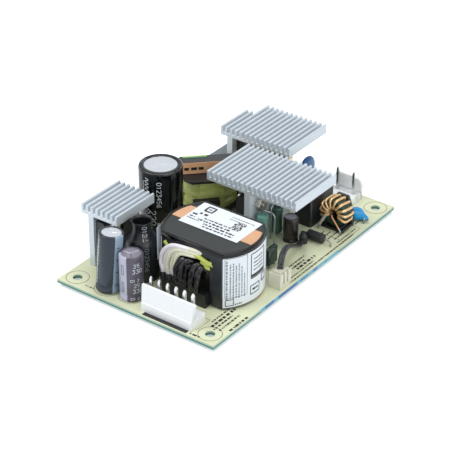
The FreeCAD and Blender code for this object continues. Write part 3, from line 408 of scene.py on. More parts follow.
# Tin over brass: bright contact pins
tin = finish("tin_plate", "#DCDDDD", "#C4C6C8", 0.26, 0.3, 0.004, metallic=1.0)
# Drawn wire of the bare leads: duller tin
tin_wire = finish("tinned_wire", "#A4A8AA", "#85898C", 0.32, 0.3, 0.004, metallic=1.0)
# Lead-free solder: bright, a little frosted
solder = finish("solder", "#D0D2D4", "#B4B7BA", 0.30, 0.25, 0.01, metallic=1.0)
# Glass epoxy laminate with a pale solder resist: faint weave and cloudy colour
laminate = finish("laminate", "#E2E6C6", "#D3D8B2", 0.46, 0.9, 0.006, patch=14.0)
# Resist over the copper tracks of the underside: a lighter green
track_green = finish("resist_over_copper", "#2F7A5B", "#266A4E", 0.34, 0.9, 0.006)
# Black epoxy moulding compound: matt with a fine spark-eroded grain
moulding = finish("epoxy_moulding", "#26282B", "#1B1D1F", 0.55, 0.12, 0.01)
# Phenolic of bobbins and holders: black, with a low gloss
phenolic = finish("phenolic", "#1E1F21", "#131415", 0.38, 0.3, 0.01)
# Grey silicone pads under the devices: dull and soft
silicone = finish("silicone_rubber", "#A3A8AC", "#90969B", 0.7, 0.2, 0.01)
# Ground manganese zinc ferrite: dark grey, satin
ferrite = finish("ground_ferrite", "#373B3C", "#2D3132", 0.40, 0.15, 0.008, patch=6.0,
                 specular=0.25)
# Black varnish on the ferrite's rims: wet looking
varnish = finish("black_varnish", "#0C0D0F", "#060708", 0.12, 1.8, specular=0.3)
# Polyester tapes: glossy film over adhesive
tape_orange = finish("polyester_tape_orange", "#DFAF88", "#D29C74", 0.36, 1.2)
# The choke's orange tape is the same tape painted much lighter: painted light against the
# heatsinks' shade
tape_choke_painted_light = finish("polyester_tape_choke", "#FFCFA2", "#FFBC88", 0.36, 1.2)
tape_bright = finish("polyester_tape_bright", "#CDD66C", "#AEB851", 0.24, 1.2, 0.04)
film_green = finish("polyester_film_green", "#3F8C6C", "#2C6E54", 0.22, 1.2)
# The choke's lime wrap is painted lighter than its tape: painted light against the heatsinks'
# shade
tape_lime_painted_light = finish("polyester_tape_yellow_painted_light", "#E0E890", "#B0BC60", 0.26, 1.6, 0.06, patch=4.0)
# The main winding sits deep in its window: its lime tape is painted near black as painted shade,
# glossy, with olive patches as painted highlights
tape_painted_shade = finish("winding_tape_painted_shade", "#2B2C1C", "#0F100C", 0.24, 1.2, 0.10, patch=2.2)
# Coated label paper: white, almost smooth
paper = finish("label_paper", "#EDF2F7", "#E1E8F0", 0.42, 0.2, 0.004)
# Printing inks of the board, the labels and the sleeves
ink_black = finish("printing_ink_black", "#1D1E20", "#111213", 0.5, 0.2, 0.002)
ink_grey = finish("printing_ink_grey", "#7C8791", "#6C7781", 0.5, 0.2, 0.002)
ink_pale = finish("printing_ink_pale", "#D5DAE0", "#BFC5CC", 0.5, 0.2, 0.002)
# Braided acrylic sleeving: soft threads, and the black one varnished
sleeving_white = finish("braided_sleeving_white", "#F6F3F5", "#E2DDE4", 0.5, 0.25, 0.03)
sleeving_grey = finish("braided_sleeving_grey", "#C9C4BC", "#A8A299", 0.5, 0.25, 0.03)
sleeving_cream = finish("braided_sleeving_cream", "#F1EFDB", "#DAD8BC", 0.5, 0.25, 0.03)
sleeving_black = finish("braided_sleeving_black", "#100E16", "#070609", 0.22, 1.3, 0.06)
# Iron powder core under a dark green paint
powder_green = finish("iron_powder_green", "#1A4034", "#123026", 0.5, 0.2)
# Enamelled copper wire: warm metal under clear varnish, with pale cream patches that are painted
# highlights
magnet_wire = finish("enamelled_copper_and_painted_highlight", "#F0D6A8", "#D8A466", 0.22, 0.6, 0.004, metallic=0.45)
# Nylon, natural: milky, soft at its edges
nylon = finish("nylon_natural", "#F4F6F7", "#ECEEF1", 0.38, 0.4, 0.006, coat=0.15)
nylon_milky = finish("nylon_milky", "#F7F8F9", "#EFF1F3", 0.30, 0.4, 0.006, milk=0.6)
nylon_cream = finish("nylon_cream", "#DDDCC8", "#D2D0BA", 0.42, 0.4, 0.006, coat=0.1)
# Cement coats of the film resistors: bumpy, half gloss. The snubber's teal coat is painted lighter
# as painted light against its shade, and the bleed resistor's coat is painted dark green as
# painted shade
coat_teal_painted_light = finish("resistor_coat_teal", "#72A99C", "#578D81", 0.30, 0.6, 0.03)
coat_green_painted_shade = finish("resistor_coat_green", "#3D6155", "#2B4A40", 0.36, 0.5, 0.03)
# Epoxy dips: thick, glossy, a little uneven
epoxy_blue = finish("epoxy_dip_blue", "#12A0DC", "#0A86C4", 0.14, 2.2, 0.03, specular=0.3)
epoxy_navy = finish("epoxy_dip_navy", "#0C6AA8", "#074C82", 0.12, 2.2, 0.03)
epoxy_green = finish("epoxy_dip_green", "#12352C", "#0C261F", 0.22, 1.2, 0.04)
# Filled polyester boxes of the film capacitors: flat and even
box_grey = finish("polyester_box_grey", "#7B878B", "#6C777B", 0.5, 0.3, 0.01)
box_black = finish("polyester_box_black", "#202327", "#16181B", 0.42, 0.3, 0.01)
# PVC sleeves shrunk on the cans: tight and glossy, each with its printed stripe
sleeve_black = finish("shrunk_pvc_black", "#090C10", "#040608", 0.14, 3.5, 0.015,
                      specular=0.35)
sleeve_slate = finish("shrunk_pvc_slate", "#2C3643", "#232C37", 0.26, 2.5, specular=0.35)
sleeve_plum = finish("shrunk_pvc_plum", "#595262", "#474152", 0.30, 2.5)
sleeve_brown = finish("shrunk_pvc_brown", "#2A2324", "#1E1819", 0.24, 2.5)
# Polyolefin heat-shrink tubing: black with a soft gloss
heat_shrink = finish("heat_shrink_tubing", "#12171D", "#0B0F14", 0.34, 3.5)
# PVC insulation of the sensor pair: dull black
wire_cover = finish("wire_cover", "#3B3D42", "#2C2E32", 0.40, 0.5, 0.01)
# Moulded packages of the devices, whose legs below are tinned
device_plastic = finish("device_moulding", "#24272B", "#1A1C1F", 0.5, 0.12, 0.01)
second_finish(device_plastic, "#C9CBCD", 0.3, 1.0, Z=(-20.0, TOP + 5.0))

# The board's cut edge and the walls of its holes show green glass cloth, and its
# underside carries a dark green resist
for low, high, tint in ((0.02, 1.58, "#B4C2A8"), (0.02, 0.85, "#3B7F78"),
                        (-1.0, 0.02, "#1F5A45")):
    second_finish(laminate, tint, 0.5, 0.0, Z=(low, high))
# Blue patches along the right edge of the board are painted reflections
for start, end, tint in ((30.0, 84.0, "#58A9BE"), (33.0, 39.0, "#1F6FA8"),
                         (42.0, 55.0, "#1C5FA6"), (57.0, 62.5, "#2A86B4"),
                         (66.0, 69.0, "#1F6FA8"), (74.0, 76.0, "#3C93B8")):
    second_finish(laminate, tint, 0.35, 0.0, X=(RIGHT - 0.05, RIGHT + 0.05),
                  Y=(FRONT + start, FRONT + end), Z=(0.05, TOP - 0.02))
# The core is lacquered: its ground top stays grey, its sides are black and glossy
second_finish(ferrite, "#1E2226", 0.28, 0.0, Z=(-1.0, 26.55))
# The right end of the ring choke's wire is bare copper, the left one is sleeved
second_finish(tin_wire, "#C08B62", 0.3, 0.8, X=(LEFT + 62.5, LEFT + 69.5),
              Y=(FRONT + 90.0, FRONT + 97.8))
second_finish(tin_wire, "#8C8780", 0.5, 0.0, X=(LEFT + 56.0, LEFT + 66.0),
              Y=(FRONT + 97.8, FRONT + 104.0))


# Making pieces


def shown(name, data):
    """A new object in the scene."""
    thing = bpy.data.objects.new(name, data)
    scene.collection.objects.link(thing)
    return thing


def piece(name, shape, made, slot, where=None, replaces=None, sharp=35.0):
    """One piece of the object, in its place and riding the board."""
    mesh = bpy.data.meshes.new(name)
    mesh.from_pydata([point * MM for point in shape[0]], [], shape[1])
    tidy = bmesh.new()
    tidy.from_mesh(mesh)
    bmesh.ops.remove_doubles(tidy, verts=tidy.verts, dist=1e-7)
    bmesh.ops.recalc_face_normals(tidy, faces=tidy.faces)
    tidy.to_mesh(mesh)
    tidy.free()
    mesh.shade_smooth()
    mesh.set_sharp_from_angle(angle=radians(sharp))
    mesh.materials.append(made)
    thing = shown(name, mesh)
    if isinstance(where, Vector):
        where = Matrix.Translation(where)
    if where is not None:
        thing.matrix_world = where
    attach(thing, "root")
    if replaces:
        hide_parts(replaces)


def printed(name, strokes, lay, made, where, fine=0.5):
    """A print on a part, as a piece of its own."""
    slot = "sleeve_black" if made is ink_black else "label_white"
    piece(name, ink(strokes, lay, fine=fine), made, slot, where)


def dress(node, made, rim):
    """A better finish for a CAD node, and rims as the real one has, in millimetres."""
    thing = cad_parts[node]
    thing.data.materials.clear()
    thing.data.materials.append(made)
    if rim:
        thing.modifiers.new("weld", "WELD").merge_threshold = 1e-6
        soft = thing.modifiers.new("rims", "BEVEL")
        soft.width = rim * MM
        soft.segments = 2
        soft.limit_method = "ANGLE"
        soft.angle_limit = radians(40)
        thing.modifiers.new("normals", "WEIGHTED_NORMAL")


def dress_cad_nodes():
    for made, rim, nodes in (
            (laminate, 0, "circuit_board"), (silicone, 0, "thermal_pads"),
            (device_plastic, 0.15, "output_rectifier_1 output_rectifier_2 power_transistor "
                                   "boost_diode bridge_rectifier"),
            (ferrite, 0.3, "transformer_core"), (ferrite, 0.25, "boost_choke_core"),
            (powder_green, 0.3, "filter_choke_core"),
            (phenolic, 0.15, "transformer_bobbin boost_choke_bobbin"),
            (phenolic, 0.2, "ring_choke_holder"), (tape_orange, 0, "core_tape"),
            # the choke's tape carries painted light, the transformer winding painted shade
            (tape_choke_painted_light, 0, "boost_choke_tape"), (tape_painted_shade, 0, "transformer_winding"),
            (magnet_wire, 0.2, "filter_choke_winding"), (paper, 0, "transformer_labels"),
            (can_metal, 0, "filter_capacitor"), (nylon, 0.2, "output_header"),
            (nylon_cream, 0.12, "signal_header"), (nylon_cream, 0.15, "signal_plug"),
            (tin, 0.1, "output_contacts mains_contacts"), (tin_wire, 0, "bare_leads"),
            (solder, 0, "solder_joints"), (nickel, 0.15, "heatsink_nuts heatsink_screws"),
            (box_black, 0.2, "line_capacitor"), (box_grey, 0.2, "film_capacitor"),
            (epoxy_green, 0.5, "dipped_capacitor"), (moulding, 0.2, "fuse"),
            (moulding, 0, "bead_sensor"), (moulding, 0.05, "chip_parts controller_chip"),
            (moulding, 0.1, "optocouplers")):
        for node in nodes.split():
            dress(node, made, rim)


# Heatsinks: fins, pitch, the stem's left side and the length of the notch at the back left

SINKS = {"output_heatsink": (8, 2.45, 3.4, 0.0), "switch_heatsink": (19, 2.36, 18.6, 0.0),
         "mains_heatsink": (15, 2.45, 3.4, 8.8)}
FIN_TOP = 0.95
FIN_HEIGHT = 2.9
FIN_EDGE = 0.3
FIN_EASE = 0.22
FIN_SWELL = 0.04
FIN_FLARE = 0.4
FLANGE = 1.3
STEM = 2.8
PIN_INSET = 4.0
SOLDER_PIN = ((0.7, -1.6), (0.7, 0.5))


def fin_row(first, last, pitch, height):
    """The outline's upper side, from right to left: each fin is thicker at its root."""
    low, high = height - FIN_HEIGHT + 0.15, height - FIN_EDGE
    run = []
    for fin in range(last, first - 1, -1):
        left, right = fin * pitch, fin * pitch + FIN_TOP
        # the outer sides of the row are flush
        inner_right, inner_left = fin < last, fin > first
        run += [(right + FIN_FLARE * inner_right, low), (right + FIN_SWELL * inner_right, high),
                (right - FIN_EASE, height), (left + FIN_EASE, height),
                (left - FIN_SWELL * inner_left, high), (left - FIN_FLARE * inner_left, low)]
    return run


def extruded(outline, length, edge=0.12):
    """A section in X and Z drawn out along Y, with its two ends eased."""
    flat = [Vector(point) for point in outline]
    return skin([[Vector((p.x, y, p.y)) for p in inset(flat, depth)]
                 for y, depth in ((0.0, edge), (edge, 0.0), (length - edge, 0.0),
                                  (length, edge))])


def build_heatsinks():
    for name, (fins, pitch, stem, notch) in SINKS.items():
        low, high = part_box(name)
        height = (high.z - BOARD_HIGH.z) / MM
        length = (high.y - low.y) / MM
        root = height - FIN_HEIGHT
        under = root - FLANGE
        # two shorter fins leave the mounting hole at the back left free
        first = 2 if notch else 0
        left = pitch * first - 0.6
        outline = [(stem, 0.0), (stem + STEM, 0.0), (stem + STEM, under),
                   ((fins - 1) * pitch + FIN_TOP, under)]
        outline += fin_row(first, fins - 1, pitch, height)
        outline += ([(left, root), (left, under), (stem, under - 0.01)] if notch
                    else [(0.0, under), (stem, under)])
        parts = [extruded(outline, length)]
        if notch:
            flap = [(0.0, under), (left, under), (left, root)] + fin_row(0, 1, pitch, height)
            parts.append(extruded(flap, length - notch))
        for y in (PIN_INSET, length - PIN_INSET):
            pin = turned(SOLDER_PIN, 16)
            parts.append(shifted(pin, at(stem + STEM / 2, y, 0)))
        piece(name + "_profile", together(parts), aluminium, "heatsink_aluminium",
              Vector((low.x, low.y, BOARD_HIGH.z)), name, sharp=30)


# Electrolytic capacitors: rolls, crimps and vents as shares of a can's radius or height

CAN_STEPS = 72
CAN_ROWS = 26
SLEEVE_WALL = 0.25
SLEEVE_ROLL = 0.16
CRIMP_LEVEL = 0.1
CRIMP_DEPTH = 0.35
VENT_REACH = 0.82
VENT_WIDTH = 0.07
TOP_SINK = 0.28
OUTPUT_CAN_PLACE = (20.4, 6.9)
OUTPUT_CAN_SIZE = (10.0, 10.0, 25.0)
OUTPUT_CAN_LEAN = 4.5
OUTPUT_CAN_TOWARDS = 55.0


def can_top(radius, level, vent, depth):
    """The can's top plate: a dish of fine rings, scored along the vent's lines."""
    rings = []
    for row in range(CAN_ROWS):
        reach = radius * (1 - row / CAN_ROWS) + 0.02
        lines = [] if reach > radius * VENT_REACH else [radians(a) for a in vent]
        ring = []
        for step in range(CAN_STEPS):
            x, y = polar(reach, 2 * pi * step / CAN_STEPS)
            near = [abs(x * sin(a) - y * cos(a)) for a in lines
                    if x * cos(a) + y * sin(a) > 0]
            drop = depth * max(0.0, 1 - min(near) / (radius * VENT_WIDTH)) if near else 0.0
            ring.append(Vector((x, y, level - drop)))
        rings.append(ring)
    foot = [Vector((p.x, p.y, level - 1.5)) for p in rings[0]]
    return skin([foot] + rings)


def capacitor(name, sleeve, slot, lip, vent, where=None, size=None, dull=False):
    """A can in a shrunk sleeve that rolls over its top, with a crimp near its foot."""
    if size is None:
        middle, size, where = size_of(name + "_sleeve")
    radius, height = size[0] / 2, size[2]
    roll = min(1.0, radius * SLEEVE_ROLL)
    crimp, waist = height * CRIMP_LEVEL, radius - CRIMP_DEPTH
    outer = [(radius - lip, 0.0)] + quarter(radius - 0.5, 0.5, 0.5, -90)
    outer += [(radius, crimp), (waist, crimp + 0.5), (waist, crimp + 0.8), (radius, crimp + 1.4)]
    outer += quarter(radius - roll, height - roll, roll, 0, 7)
    outer += [(radius - lip + 0.15, height - 0.03), (radius - lip, height - 0.2)]
    inner = [(max(r - SLEEVE_WALL, radius - lip),
              min(max(z, SLEEVE_WALL), height - SLEEVE_WALL - 0.05))
             for r, z in reversed(outer[1:-2])]
    piece(name + "_wrap", turned(outer + inner, CAN_STEPS, loop=True), sleeve, slot, where,
          name + "_sleeve", sharp=50)
    top = can_top(radius - SLEEVE_WALL - 0.05, height - TOP_SINK, vent, 0.24 if dull else 0.12)
    piece(name + "_top", top, can_dull if dull else can_metal, "can_aluminium", where,
          name + "_can", sharp=60)
    return where, radius


def on_cylinder(radius, middle):
    """Lays a drawing round a cylinder: x runs round it from an angle, y is the height."""
    def lay(x, y, rise):
        return Vector((*polar(radius + 0.02 + rise, radians(middle) + x / radius), y))
    return lay


def build_capacitors():
    striped(sleeve_black, "#3C4652", 196.0, 15.0)
    where, radius = capacitor("bulk_capacitor", sleeve_black, "sleeve_black", 2.25,
                              (20, 140, 260))
    # a wavy printed band down the sleeve, figures beside it and a column of small print
    wave = [(-4.6 + (1.5 if i % 4 in (1, 2) else 0.0), 29.6 - i * 0.42) for i in range(58)]
    marks = [(wave, 0.34)] + bars([(-5.6, 28.0, 22.0, 0.3, 4), (1.1, 10.0, 6.0, 0.8, 6)], -90)
    for text, x, y, height in (("350", -6.4, 14.6, 1.5), ("220", -2.6, 15.4, 2.6),
                               ("0123456", 0.6, 28.4, 1.8)):
        marks += number(text, x, y, height, -90)
    printed("bulk_capacitor_print", marks, on_cylinder(radius, 294.0), ink_pale, where)

    # the can at the output leans on its edge
    towards = radians(OUTPUT_CAN_TOWARDS)
    lean = radians(OUTPUT_CAN_LEAN)
    lift = OUTPUT_CAN_SIZE[0] / 2 * sin(lean)
    axis = Vector((-sin(towards), cos(towards), 0))
    stands = Matrix.Translation(place(*OUTPUT_CAN_PLACE, lift)) @ Matrix.Rotation(lean, 4, axis)
    striped(sleeve_slate, "#93A8BA", 351.0, 24.0)
    where, radius = capacitor("output_capacitor", sleeve_slate, "sleeve_blue", 1.15,
                              (30, 150, 270), stands, Vector(OUTPUT_CAN_SIZE))
    marks = bars([(0.0, 22.5, 19.0, 0.6, 8)], -90)
    marks += [([(-0.9, 22.4 - tick * 0.9), (-0.3, 22.4 - tick * 0.9)], 0.3)
              for tick in range(22)]
    printed("output_capacitor_print", marks, on_cylinder(radius, 243.0), ink_pale, where)
    marks = [([(-0.5, level), (0.5, level)], 0.3) for level in (4.0, 9.4, 14.8, 20.2)]
    printed("output_capacitor_stripe_marks", marks, on_cylinder(radius, 344.0), ink_black,
            where)

    striped(sleeve_plum, "#B4B5C8", 250.0, 36.0)
    where, radius = capacitor("short_capacitor", sleeve_plum, "sleeve_purple", 1.0,
                              (70, 190, 310), dull=True)
    marks = frame_mark(-0.5, 4.4, 0.9, 4.2, 0.2) + frame_mark(-0.5, 12.0, 0.9, 4.2, 0.2)
    printed("short_capacitor_stripe_marks", marks, on_cylinder(radius, 265.0), ink_black, where)
    marks = []
    for level in (4.2, 13.0):
        marks += number("25", 0.8, level + 2.5, 1.5) + number("330", 0.3, level, 1.6)
    for level in (9.4, 1.2):
        marks += frame_mark(-0.5, level, 1.5, 0.8, 0.2) + number("2", 2.2, level - 0.2, 1.1)
    printed("short_capacitor_print", marks, on_cylinder(radius, 310.0), ink_pale, where)

    striped(sleeve_brown, "#8B8A8C", 200.0, 25.0)
    capacitor("supply_capacitor", sleeve_brown, "sleeve_black", 0.7, (45, 225), dull=True)


NECK = 4.05
TUBING_WALL = 0.5


def build_shrink_sleeve():
    """Heat-shrunk tubing over the filter capacitor: a smooth shoulder and an open neck."""
    middle, size, where = size_of("shrink_sleeve")
    body, height = size[0] / 2, size[2]
    outline = [(body, 0.0), (body, 8.0), (body, 14.4), (body - 0.1, 15.9), (body - 0.7, 17.2),
               (body - 1.8, 18.4), (NECK + 0.4, 19.8), (NECK, 21.2), (NECK, 22.4),
               (NECK + 0.05, 23.6), (NECK + 0.2, height - 0.2)]
    inside = [(NECK + 0.1, height), (NECK - 0.2, height - 0.1), (NECK - TUBING_WALL, 23.4),
              (NECK - TUBING_WALL, 20.4), (body - 2.8, 18.0),
              (body - TUBING_WALL - 0.05, 16.35), (body - TUBING_WALL - 0.05, 0.0)]
    run = [(p.x, p.z) for p in route([Vector((r, 0, z)) for r, z in outline], 4)]
    points, faces = turned(run + inside, 80, loop=True)
    # the shoulder is uneven where the tubing drew in
    chance = random.Random(11)
    waves = [(chance.uniform(0, 6.28), chance.uniform(0.03, 0.09), k) for k in (2, 3, 5)]
    for point in points:
        reach = hypot(point.x, point.y)
        angle = atan2(point.y, point.x)
        share = exp(-((point.z - 18.6) / 3.0) ** 2)
        grow = 1 + share * sum(a * sin(k * angle + p) for p, a, k in waves) / reach
        point.x *= grow
        point.y *= grow
    piece("shrink_sleeve_tube", (points, faces), heat_shrink, "shrink_black", where,
          "shrink_sleeve", sharp=60)

    def lay(x, y, rise):
        radius = next((r for r, z in run if z >= y - 0.01), NECK)
        return on_cylinder(radius + 0.05, 322.0)(x, y, rise)
    marks = number("0123", -0.8, 23.8, 1.7, -90, 0.12)
    printed("shrink_sleeve_print", marks, lay, ink_pale, where)
    marks = number("0123456", -0.6, 15.4, 1.6, -90, 0.14)
    printed("shrink_sleeve_small_print", marks, lay, ink_grey, where)


# Main transformer

CORE_STRAIGHT = 28.2
CORE_BULGE = 6.0
CORE_RIM = 1.25
TAPE_SKIN = 0.12
TOP_LABEL_CORNER = (-14.1, -3.9)
CELLS = 11
CELL = 0.42


def core_end(depth, grow=0.0, steps=24):
    """Half of the core's plan on its right: an arc from front to back."""
    half, deep = CORE_STRAIGHT / 2 + grow, depth / 2
    radius = (deep ** 2 + CORE_BULGE ** 2) / (2 * CORE_BULGE)
    span = asin(deep / radius)
    arc = [polar(radius, span * (2 * i / steps - 1)) for i in range(steps + 1)]
    return [Vector((half + CORE_BULGE - radius + x, y)) for x, y in arc]


def along_end(end, length):
    """The point and the way out at a length along the core's end, from its front."""
    for near, far in zip(end, end[1:]):
        step = (far - near).length
        if length <= step or far is end[-1]:
            way = (far - near).normalized()
            return near.lerp(far, length / step), Vector((way.y, -way.x))
        length -= step


def build_transformer():
    middle, size, where = size_of("transformer_core")
    depth, high = size.y, size.z
    right = core_end(depth)
    plan = right + [Vector((-p.x, -p.y)) for p in right]
    # the varnish has run into a bead round the top, and down over its edge
    section = [(CORE_RIM, high + 0.02), (CORE_RIM - 0.2, high + 0.3), (0.35, high + 0.34),
               (-0.12, high + 0.12), (-0.3, high - 0.5), (-0.28, high - 1.7), (0.1, high - 1.9),
               (0.3, high - 0.6)]
    rings = [[Vector((q.x, q.y, level)) for q, (depth_in, level) in zip(edge, section)]
             for edge in zip(*[inset(plan, depth_in) for depth_in, level in section])]
    piece("transformer_rim", skin(rings, True), varnish, "ferrite", where, sharp=60)

    # the label on the top, drawn from its corner: a frame, small print and seeded squares
    def flat(x, y, rise):
        return Vector((x + TOP_LABEL_CORNER[0], y + TOP_LABEL_CORNER[1],
                       high + 2 * TAPE_SKIN + 0.01 + rise))
    marks = frame_mark(3.9, 11.8, 3.4, 3.4, 0.9) + [([(4.9, 13.5), (6.3, 13.5)], 0.7)]
    marks += bars([(3.6, 9.4, 3.6, 1.3, 21), (1.2, 7.8, 2.2, 1.0, 22), (1.2, 5.8, 2.4, 0.7, 23),
                   (7.4, 7.0, 16.0, 0.75, 30), (5.6, 5.25, 15.0, 0.95, 31),
                   (9.4, 3.5, 14.5, 0.9, 32), (10.2, 1.75, 14.2, 0.75, 33),
                   (15.5, 14.2, 10.5, 0.4, 41), (15.5, 12.6, 8.0, 0.35, 42)])
    marks += bars([(0.9, 4.4, 6.0, 0.55, 29)], -4)
    chance = random.Random(5)
    for column in range(CELLS):
        for line in range(CELLS):
            if chance.random() < 0.55:
                x, y = 19.2 + column * CELL, 7.8 + line * CELL
                marks.append(([(x, y), (x + CELL, y)], CELL))
    printed("transformer_top_print", marks, flat, ink_black, where, 3.0)

    # the label on the end: x runs along the arc from the front, y is the height
    end = core_end(depth, 2 * TAPE_SKIN)

    def on_end(x, y, rise):
        spot, out = along_end(end, x)
        spot = spot + out * (0.03 + rise)
        return Vector((spot.x, spot.y, y))
    columns = ((1.9, 4.0, 17.4, 0.6), (3.3, 4.4, 15.4, 0.5), (4.5, 4.0, 15.9, 0.5),
               (5.7, 4.4, 14.4, 0.5), (6.9, 4.0, 15.4, 0.5), (8.1, 4.4, 13.4, 0.5),
               (9.3, 4.0, 10.4, 0.5))
    marks = bars([(*column, 50 + i) for i, column in enumerate(columns)], 90)
    printed("transformer_end_columns", marks, on_end, ink_grey, where, 0.6)
    marks = frame_mark(1.2, 4.6, 9.4, 17.6, 0.14) + frame_mark(1.4, 1.2, 3.2, 2.6, 0.3)
    marks += bars([(5.2, 1.4, 3.0, 0.5, 60)]) + frame_mark(12.6, 10.4, 8.8, 10.8, 0.42)
    marks += bars([(14.0, level, 6.0, 0.5, 61 + int(level)) for level in (18.6, 17.0, 15.4, 13.8)])
    marks += [([(12.8, 11.4), (21.2, 11.4)], 1.3)] + frame_mark(12.4, 3.4, 5.2, 3.8, 0.4)
    marks += bars([(13.4, 5.3, 3.2, 0.9, 62)]) + frame_mark(19.4, 6.2, 3.2, 3.2, 0.5)
    printed("transformer_end_print", marks, on_end, ink_black, where, 0.6)

    # the front corner of the left label has come off the core and curls away from it
    loose = end[2:9]
    rings = []
    for i, p in enumerate(loose):
        lift = 2.0 * (1 - i / (len(loose) - 1)) ** 2 + 0.05
        outer, inner = -p.x - lift, -p.x - lift + TAPE_SKIN
        rings.append([Vector((x, p.y, z)) for x, z in ((outer, 9.0), (inner, 9.0),
                                                       (inner, high - 0.8), (outer, high - 0.8))])
    piece("loose_label_end", skin(rings), paper, "label_white", where)


# Sleeved leads of the transformer: routes in millimetres from the board corner

CREAM_FROM = 50.4
WHITE_LEADS = 5
WHITE_RADIUS = 0.8
BLACK_RADIUS = 1.28
TAPE_RADIUS = 0.85
BLACK_ROUTES = (
    ((51.6, 21.4, 15.6), (49.4, 19.8, 17.8), (46.6, 18.6, 16.8), (44.9, 17.9, 12.6),
     (45.3, 18.0, 9.0), (46.4, 18.4, 6.2)),
    ((52.4, 21.4, 15.8), (51.0, 19.6, 18.0), (48.8, 18.2, 17.2), (47.4, 17.5, 12.6),
     (47.5, 17.8, 9.0), (48.0, 18.4, 6.2)),
    ((52.4, 21.6, 14.4), (51.2, 20.4, 16.0), (49.6, 19.2, 15.2), (48.8, 18.8, 12.0),
     (48.8, 18.6, 9.0), (49.0, 18.6, 6.2)),
    ((55.6, 21.4, 16.0), (54.8, 19.6, 17.7), (53.6, 18.0, 17.0), (52.8, 17.3, 12.0),
     (52.5, 17.6, 8.6), (52.5, 18.3, 5.9)),
    ((57.2, 21.4, 15.4), (56.4, 19.8, 16.6), (55.6, 18.4, 16.0), (55.2, 17.8, 11.8),
     (54.9, 17.8, 8.4), (54.7, 18.3, 5.9)),
)
TAPE_ROUTES = (
    ((50.6, 20.4, 20.6), (54.6, 19.9, 20.7), (58.0, 20.3, 19.2), (60.4, 21.2, 18.2)),
    ((55.4, 20.4, 18.6), (57.6, 20.3, 18.0), (59.6, 21.0, 19.0), (61.2, 21.8, 21.8)),
    ((56.6, 20.6, 17.6), (57.8, 20.4, 16.8), (59.2, 20.9, 16.6)),
    ((37.8, 20.5, 21.6), (38.8, 20.5, 20.4), (40.2, 20.6, 18.6)),
)


def white_route(strand):
    """One strand of the white bundle: it fans out from the window over to the left."""
    left, top = 36.9 + 1.62 * strand, 22.35 - 0.62 * strand
    foot = 10.0 - 1.2 * strand + 0.12 * strand ** 2
    deep = 19.1 + 0.5 * (strand % 2)
    return ((56.6 - 0.6 * strand, 21.6, top - 0.5), (54.0, 20.6, top + 0.2),
            (50.6 + 0.3 * strand, deep + 0.6, top + 0.25), (46.8 + 0.5 * strand, deep, top + 0.35),
            (42.6 + 0.9 * strand, deep, top - 0.3), (39.4 + 1.25 * strand, deep, top - 2.7),
            (left + 0.5, deep, top - 5.7), (left - 0.15, deep, 12.6 + 0.2 * strand),
            (left + 0.3, deep - 0.2, foot + 1.2), (left + 1.2, deep - 0.3, foot - 1.0),
            (left + 1.7, deep - 0.4, 5.9))


def braid(pitch, depth, strands=4):
    """Crossing strands of a braid, as a relief by angle and length."""
    def relief(angle, length):
        turn = 2 * pi * length / pitch
        return 1 + depth * sin(strands * angle + turn) * sin(strands * angle - turn)
    return relief


def lumpy(seed):
    """Loose sleeving that bulges and pinches along its run."""
    chance = random.Random(seed)
    waves = [(chance.uniform(0.5, 2.4), chance.choice((1, 2, 3)), chance.uniform(0, 6.28),
              chance.uniform(0.03, 0.07)) for _ in range(6)]

    def relief(angle, length):
        return 1 + sum(high * sin(rate * length + turns * angle + start)
                       for rate, turns, start, high in waves)
    return relief


def build_transformer_leads():
    white, cream, collars = [], [], []
    for strand in range(WHITE_LEADS):
        run = even(held(white_route(strand)), 0.22)
        if strand > 1:
            turn = len(run) - 1 - 8 * strand
        else:
            turn = next(i for i, p in enumerate(run) if p.x < place(CREAM_FROM, 0.0).x / MM)
        for part, bundle in ((run[:turn + 1], cream), (run[turn:], white)):
            bundle.append(tube(part, WHITE_RADIUS, 16, braid(1.6, 0.03)))
        collar = turned([(0.4, 5.8), (1.15, 5.8), (1.2, 7.6), (1.05, 8.6), (0.4, 8.7)], 14)
        collars.append(shifted(collar, at(run[-1].x, run[-1].y - 0.5, TOP)))
    black = [tube(even(held(points), 0.25), BLACK_RADIUS, 20, lumpy(70 + i))
             for i, points in enumerate(BLACK_ROUTES)]
    tape = [tube(even(held(points), 0.4), TAPE_RADIUS, 12) for points in TAPE_ROUTES]
    for name, shapes, made, slot, node, sharp in (
            ("white_sleeved_leads", white, sleeving_white, "sleeving_white", "white_leads", 80),
            ("cream_lead_starts", cream, sleeving_cream, "sleeving_white", None, 80),
            ("lead_collars", collars, sleeving_black, "sleeving_black", None, 35),
            ("black_sleeved_leads", black, sleeving_black, "sleeving_black", "black_leads", 80),
            ("taped_lead_ends", tape, tape_bright, "tape_yellow", None, 35)):
        piece(name, together(shapes), made, slot, None, node, sharp)


# Chokes


def wound(inner, outer, width, wire, first, step, turns, steps=22):
    """One wire wound round a ring's section, turn after turn, with the ring's axis on Y."""
    middle, high = (inner + outer) / 2, (outer - inner) / 2 + wire / 2
    wide = width / 2 + wire / 2
    run = []
    for i in range(turns * steps + 1):
        phase = 2 * pi * i / steps + pi
        spin = radians(first + step * i / steps)
        squash = (abs(cos(phase)) ** 5 + abs(sin(phase)) ** 5) ** (-1 / 5)
        reach = middle + high * cos(phase) * squash
        run.append(Vector((-reach * sin(spin), wide * sin(phase) * squash,
                           -reach * cos(spin))))
    return tube(run, wire / 2)


RING_INNER = 3.0
RING_EDGE = 0.7
RING_WIRE = 1.15
RING_LEAD_FOOT = (60.8, 93.55, 2.1)
RING_LEAD_START = (63.1, 94.3)
RING_LEAD_RADIUS = 0.62
FILTER_INNER = 3.6
FILTER_WIRE = 1.3


